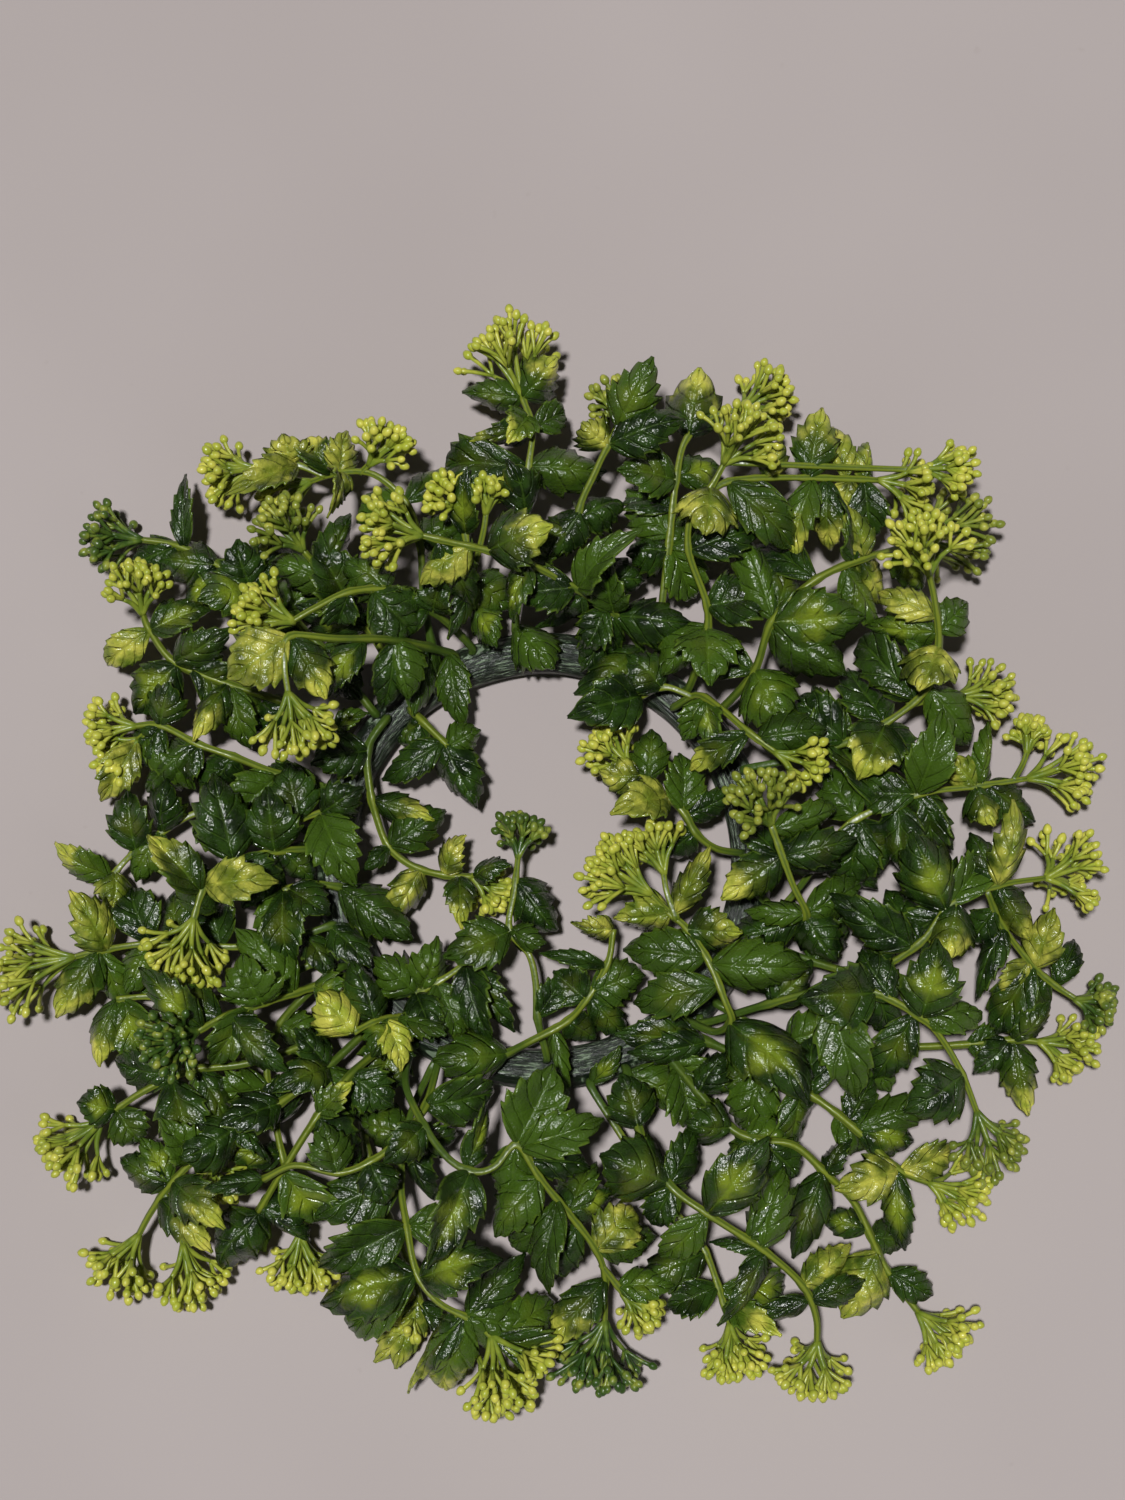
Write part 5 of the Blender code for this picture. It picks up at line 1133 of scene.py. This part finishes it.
def leaf_point(t, s, length, width, habit):
    """Returns how far a point lies along, across and above the blade's line.

    t runs from 0 at the base to 1 at the tip, and s from -1 at one edge to 1 at the other.
    """
    edge = abs(s)
    second = s > 0
    half = max(0.35, 0.5 * width * habit.fat * blade_profile(t, habit.broad))
    share = min(1.0, half / (0.25 * width))
    # a tooth swells slowly towards the tip of the leaf and ends in a sharp notch
    toothed = min(1.0, max(0.0, (t - 0.14) * 3.2)) * min(1.0, 6 * (1 - t) + 0.1)
    bite = (t * (habit.teeth + 0.5) + (0.3 if second else 0.0)) % 1.0
    tooth = habit.deep * (bite**1.5 - 0.42) * toothed
    across = s * half * (1 + tooth * edge**5)
    along = t * length + half * edge * edge * (0.10 + 0.75 * tooth) * min(1, 4 * t) * min(1, 5 * (1 - t))
    # the skin is quilted between the side veins
    vein = (VEINS * (t - VEIN_ADVANCE * edge**VEIN_CURVE) + VEIN_START) % 1.0
    pillow = 1 - (2 * abs(vein - 0.5)) ** 3.0
    belly = math.sin(math.pi * min(1.0, edge * 1.06) ** 0.62)
    quilt = QUILT * (pillow - 0.6) * min(1.0, 4 * edge) * (1 - 0.55 * edge)
    above = habit.bend * 4 * t * (1 - t) - habit.droop * t**3 + habit.droop * t
    above += habit.swell * share * (0.85 * belly + quilt)
    above += habit.cup * abs(across) * share * min(1.0, 0.3 + 0.9 * edge)
    above += habit.wave * edge * math.sin(habit.phase + 11 * t + (2 if second else 0)) * share
    above += 0.020 * width * math.sin(habit.phase * 3 + 7 * t + 4 * s) * min(1.0, 4 * t)
    above -= 0.18 * tooth * width * edge**4
    across += habit.skew * t * t * (1 - t) * 3
    turn = habit.roll * min(1.0, 3 * t) * (1 + 0.4 * t)
    rolled = across * math.cos(turn) - above * math.sin(turn) * 0.3
    return along, rolled, above + across * math.sin(turn)


def leaf_sheet(base, tip, width, rng):
    """Returns one leaf's points, faces and place values, as a sheet with relief."""
    along = tip - base
    length = along.length
    along = along / length
    across = Vector((-along.y, along.x, 0)).normalized()
    up = along.cross(across)
    if up.z < 0:
        up = -up
        across = -across
    habit = leaf_habit(length, width, rng)
    half_columns = LEAF_COLUMNS // 2
    points = []
    runs = []
    sides = []
    for row in range(LEAF_ROWS):
        for column in range(LEAF_COLUMNS + 1):
            t = row / (LEAF_ROWS - 1)
            s = (column - half_columns) / half_columns
            x, y, z = leaf_point(t, s, length, width, habit)
            points.append(base + along * x + across * y + up * z)
            runs.append(t)
            sides.append(s)
    return points, grid_faces(LEAF_ROWS, LEAF_COLUMNS + 1), runs, sides


def bud_ball(centre, way, radius, rng):
    """Returns a small closed bud, a little longer than wide, with a blunt nose."""
    bm = bmesh.new()
    bmesh.ops.create_icosphere(bm, subdivisions=2, radius=radius)
    turn = way.to_track_quat("Z", "Y").to_matrix()
    points = []
    stretch = rng.uniform(1.0, 1.22)
    for v in bm.verts:
        co = v.co.copy()
        co.z *= stretch
        if co.z > 0.6 * radius:
            co.z += 0.22 * radius * (1 - (math.hypot(co.x, co.y) / radius) ** 2)
        points.append(centre + turn @ co)
    faces = [[v.index for v in f.verts] for f in bm.faces]
    bm.free()
    return points, faces


def swung(way, lean, angle):
    """Returns a direction that leans from way, towards an angle round it."""
    side = way.orthogonal().normalized()
    other = way.cross(side)
    return way * math.cos(lean) + (side * math.cos(angle) + other * math.sin(angle)) * math.sin(lean)


def bud_twig(sheets, fork, out, way, angle, lean, longest, dark, rng):
    """Adds one twig that leaves a fork and carries a bud."""
    aim = swung(out, lean, angle)
    bud = fork + aim * (longest * rng.uniform(0.75, 1.0))
    bud.z = max(bud.z, 2.0)
    path = smooth_path([fork - out * 0.3, fork.lerp(bud, 0.55) + way * 0.3, bud], 2)
    ripe = np.repeat(np.linspace(0.55, 0.85, len(path)), TWIG_SIDES)
    sheets.add(*tube(path, np.linspace(*TWIG_RADII, len(path)), TWIG_SIDES), along=ripe, dark=dark)
    sheets.add(*bud_ball(bud, aim, rng.uniform(*BUD_RADII), rng), along=1.0, dark=dark)


def bud_head(sheets, neck, front, radius, dark, rng):
    """Adds one head: rays from the stem's end that fork and carry a bud on every tip."""
    way = front - neck
    if way.length < 0.5 * radius:
        way = Vector((way.x, way.y, 0.8 * radius))
    depth = max(way.length, 0.6 * radius) + HEAD_DOME * radius
    way.normalize()
    spread = min(1.15, math.atan2(1.15 * radius, 0.62 * depth))
    for ray in range(6 + round(radius * 0.40)):
        ring = 0.12 if ray == 0 else (0.55 if ray % 2 else 1.0)
        angle = ray * GOLDEN_TURN + rng.uniform(-0.3, 0.3)
        out = swung(way, spread * ring * rng.uniform(0.85, 1.12), angle)
        reach = depth * (1 - 0.16 * ring) * rng.uniform(0.84, 1.04)
        fork = neck + out * reach * rng.uniform(0.45, 0.6)
        bow = way * rng.uniform(0.2, 0.9)
        stalk = smooth_path([neck - way * 0.8, neck.lerp(fork, 0.5) + bow, fork], 3)
        sheets.add(*tube(stalk, np.linspace(*RAY_RADII, len(stalk)), STALK_SIDES), along=0.45, dark=dark)
        longest = reach - (fork - neck).length
        twigs = 4 if ray % 3 else 5
        for twig in range(twigs):
            angle = twig * 2 * math.pi / (twigs - 1) + rng.uniform(-0.5, 0.5) + ray
            lean = 0.1 if twig == twigs - 1 else rng.uniform(0.42, 0.80)
            bud_twig(sheets, fork, out, way, angle, lean, longest, dark, rng)


def stem_tubes(sheets, sprig, dark):
    """Adds a sprig's stems, thickened a little where leaves leave them."""
    marks = [leaf[0] for leaf in sprig["leaves"]]
    for number, (path, radii) in enumerate(zip(sprig["paths"], sprig["radii"])):
        fine = smooth_path(path, 6)
        sizes = []
        for k, place in enumerate(fine):
            t = k / (len(fine) - 1)
            radius = (radii[0] + (radii[-1] - radii[0]) * t) * STEM_SLIM
            near = min((place - mark).length for mark in marks)
            sizes.append(radius * (1 + JOINT_SWELL * math.exp(-((near / JOINT_REACH) ** 2))))
        along = np.repeat(np.linspace(0.35 if number else 0.0, 1.0, len(fine)), STEM_SIDES)
        # where the ribs and furrows lie, which sets the painted shade in the furrows
        ribs = np.tile(np.cos(np.arange(STEM_SIDES) * math.pi / 2), len(fine))
        sheets.add(*tube(fine, sizes, STEM_SIDES, STEM_RIBS), along=along, dark=dark, rib=ribs)


def ring_mesh(material):
    """Makes the ring: a tube with a flat underside and fine strands that run along it."""
    rng = random.Random(11)
    waves = [
        (rng.randint(9, 34), rng.randint(1, 7), rng.uniform(0, 6.28), rng.uniform(0.5, 1))
        for _ in range(STRANDS)
    ]
    tube_sheet = Sheets(("around", "across"))
    points = []
    around = []
    across = []
    for r in range(RING_ROUNDS):
        phi = 2 * math.pi * r / RING_ROUNDS
        for s in range(RING_SIDES):
            theta = 2 * math.pi * s / RING_SIDES
            relief = 0.0
            for lines, turns, shift, weight in waves:
                relief += weight * math.sin(lines * theta + shift + 1.6 * math.sin(turns * phi + shift * 3))
            relief = STRAND_HEIGHT * abs(relief) ** 0.8
            wobble = 0.12 * math.sin(5 * phi + 2 * math.cos(3 * phi) + theta)
            radius = TUBE_RADIUS - STRAND_ROOM + relief + wobble
            x = RING_RADIUS + radius * math.cos(theta)
            z = max(FLAT_DROP + radius * math.sin(theta), 0.0)
            points.append((x * math.cos(phi), x * math.sin(phi), z))
            around.append(11 * math.sin(phi) + 11 * math.cos(phi))
            across.append(8 * math.sin(theta) + 8 * math.cos(theta) + 2 * math.sin(3 * phi))
    faces = grid_faces(RING_ROUNDS, RING_SIDES, True)
    last = (RING_ROUNDS - 1) * RING_SIDES
    for s in range(RING_SIDES):
        d = (s + 1) % RING_SIDES
        faces.append([last + s, last + d, d, s])
    tube_sheet.add(points, faces, around=around, across=across)
    return tube_sheet.piece("ring_grained_tube", material)


# ---------------------------------------------------------------- view, light and floor

CAMERA_DISTANCE = 1.0
CAMERA_RAISE = math.radians(86.0)
CAMERA_LENS = 83.0
AIM = Vector((0.0056, 0.0320, 0.006))
FILL_TINT = (1.0, 0.97, 0.96)
FLOOR_SIDE = 40.0
FLOOR_DROP = 0.0001
WALL_RADIUS = 19.0
WALL_HEIGHT = 4.2
WALL_SUNK = 0.1


def add_view():
    """Places the camera almost straight above the ring."""
    data = bpy.data.cameras.new("view")
    data.sensor_width = 36.0
    data.lens = CAMERA_LENS
    camera = bpy.data.objects.new("view", data)
    bpy.context.scene.collection.objects.link(camera)
    back = Vector((0, -math.cos(CAMERA_RAISE), math.sin(CAMERA_RAISE)))
    camera.location = AIM + back * CAMERA_DISTANCE
    camera.rotation_euler = back.to_track_quat("Z", "Y").to_euler()
    bpy.context.scene.camera = camera
    bpy.context.scene.view_settings.view_transform = "Standard"


def add_lamp(data, place, power):
    """Adds a lamp that looks at the ring, and returns it."""
    data.energy = power
    lamp = bpy.data.objects.new(data.name, data)
    bpy.context.scene.collection.objects.link(lamp)
    lamp.location = place
    lamp.rotation_euler = (Vector(place) - AIM).to_track_quat("Z", "Y").to_euler()
    return lamp


def add_lights():
    """Adds the flash near the camera, a weak wide lamp at the lower right and the even fill."""
    flash = bpy.data.lights.new("flash", "SUN")
    flash.angle = math.radians(4.0)
    add_lamp(flash, (-0.20, 0.13, 2.05), 3.1)
    room = bpy.data.lights.new("room", "AREA")
    room.shape = "DISK"
    room.size = 1.4
    add_lamp(room, (1.3, -1.0, 2.0), 1.9).visible_glossy = False
    world = bpy.data.worlds.new("fill")
    world.use_nodes = True
    back = world.node_tree.nodes["Background"]
    back.inputs["Color"].default_value = (*FILL_TINT, 1.0)
    back.inputs["Strength"].default_value = FILL
    bpy.context.scene.world = world


def add_floor():
    """Lays the paper that the ring rests on."""
    bpy.ops.mesh.primitive_plane_add(size=FLOOR_SIDE, location=(0, 0, -FLOOR_DROP))
    floor = bpy.context.object
    floor.name = "paper_floor"
    floor.data.materials.append(floor_material())


def add_backdrop():
    """Stands a pale wall far round the floor, so that the paper seems to run on."""
    bpy.ops.mesh.primitive_cylinder_add(
        vertices=96,
        radius=WALL_RADIUS,
        depth=WALL_HEIGHT,
        end_fill_type="NOTHING",
        location=(0, 0, 0.5 * WALL_HEIGHT - WALL_SUNK),
    )
    wall = bpy.context.object
    wall.name = "paper_backdrop"
    wall.data.materials.append(backdrop_material())


add_view()
add_lights()
add_floor()
add_backdrop()

# ---------------------------------------------------------------- the ring and its sprigs


def stem_piece(name, sprig, material, rng):
    """Makes a sprig's stems; where a head is dark, its stems are darker too."""
    dark_heads = [shade == "dark" for *_, shade in sprig["heads"]]
    dark = 0.35 if any(dark_heads) else rng.uniform(0.0, 0.35)
    sheets = Sheets(("along", "dark", "rib"))
    stem_tubes(sheets, sprig, dark)
    return sheets.piece(name, material)


def leaf_piece(name, sprig, material, rng):
    """Makes a sprig's leaves, each a thin skin with its own shade."""
    sheets = Sheets(("along", "side", "tone", "patched", "tipped", "limed"))
    for base, tip, width, shade in sprig["leaves"]:
        points, faces, along, side = leaf_sheet(base, tip, width, rng)
        patched, tipped, limed = SHADES[shade]
        patched = max(patched, rng.uniform(-0.5, 0.38))
        tone = rng.random()
        sheets.add(
            points, faces, along=along, side=side, tone=tone, patched=patched, tipped=tipped, limed=limed
        )
    leaves = sheets.piece(name, material)
    skin = leaves.modifiers.new("skin", "SOLIDIFY")
    skin.thickness = LEAF_SKIN * MM
    skin.offset = 0.0
    return leaves


def bud_piece(name, sprig, material, rng):
    """Makes a sprig's bud heads."""
    sheets = Sheets(("along", "dark"))
    for neck, front, radius, shade in sprig["heads"]:
        bud_head(sheets, neck, front, radius, GLOOMS[shade] + rng.uniform(0.0, 0.22), rng)
    return sheets.piece(name, material)


leaf_plastic = leaf_material()
stem_plastic = stem_material()
bud_plastic = bud_material()

ring = ring_mesh(ring_material())
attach(ring, "root")
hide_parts("ring_base")

for number, sprig in enumerate(laid_out(ring_shape()), 1):
    rng = random.Random(700 + number)
    node = f"sprig_{number:02d}"

    stem = stem_piece(node + "_stem", sprig, stem_plastic, rng)
    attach(stem, "root")
    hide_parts(node)

    leaves = leaf_piece(node + "_leaves", sprig, leaf_plastic, rng)
    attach(leaves, "root")
    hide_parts(node)

    if sprig["heads"]:
        buds = bud_piece(node + "_buds", sprig, bud_plastic, rng)
        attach(buds, "root")
        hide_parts(node)
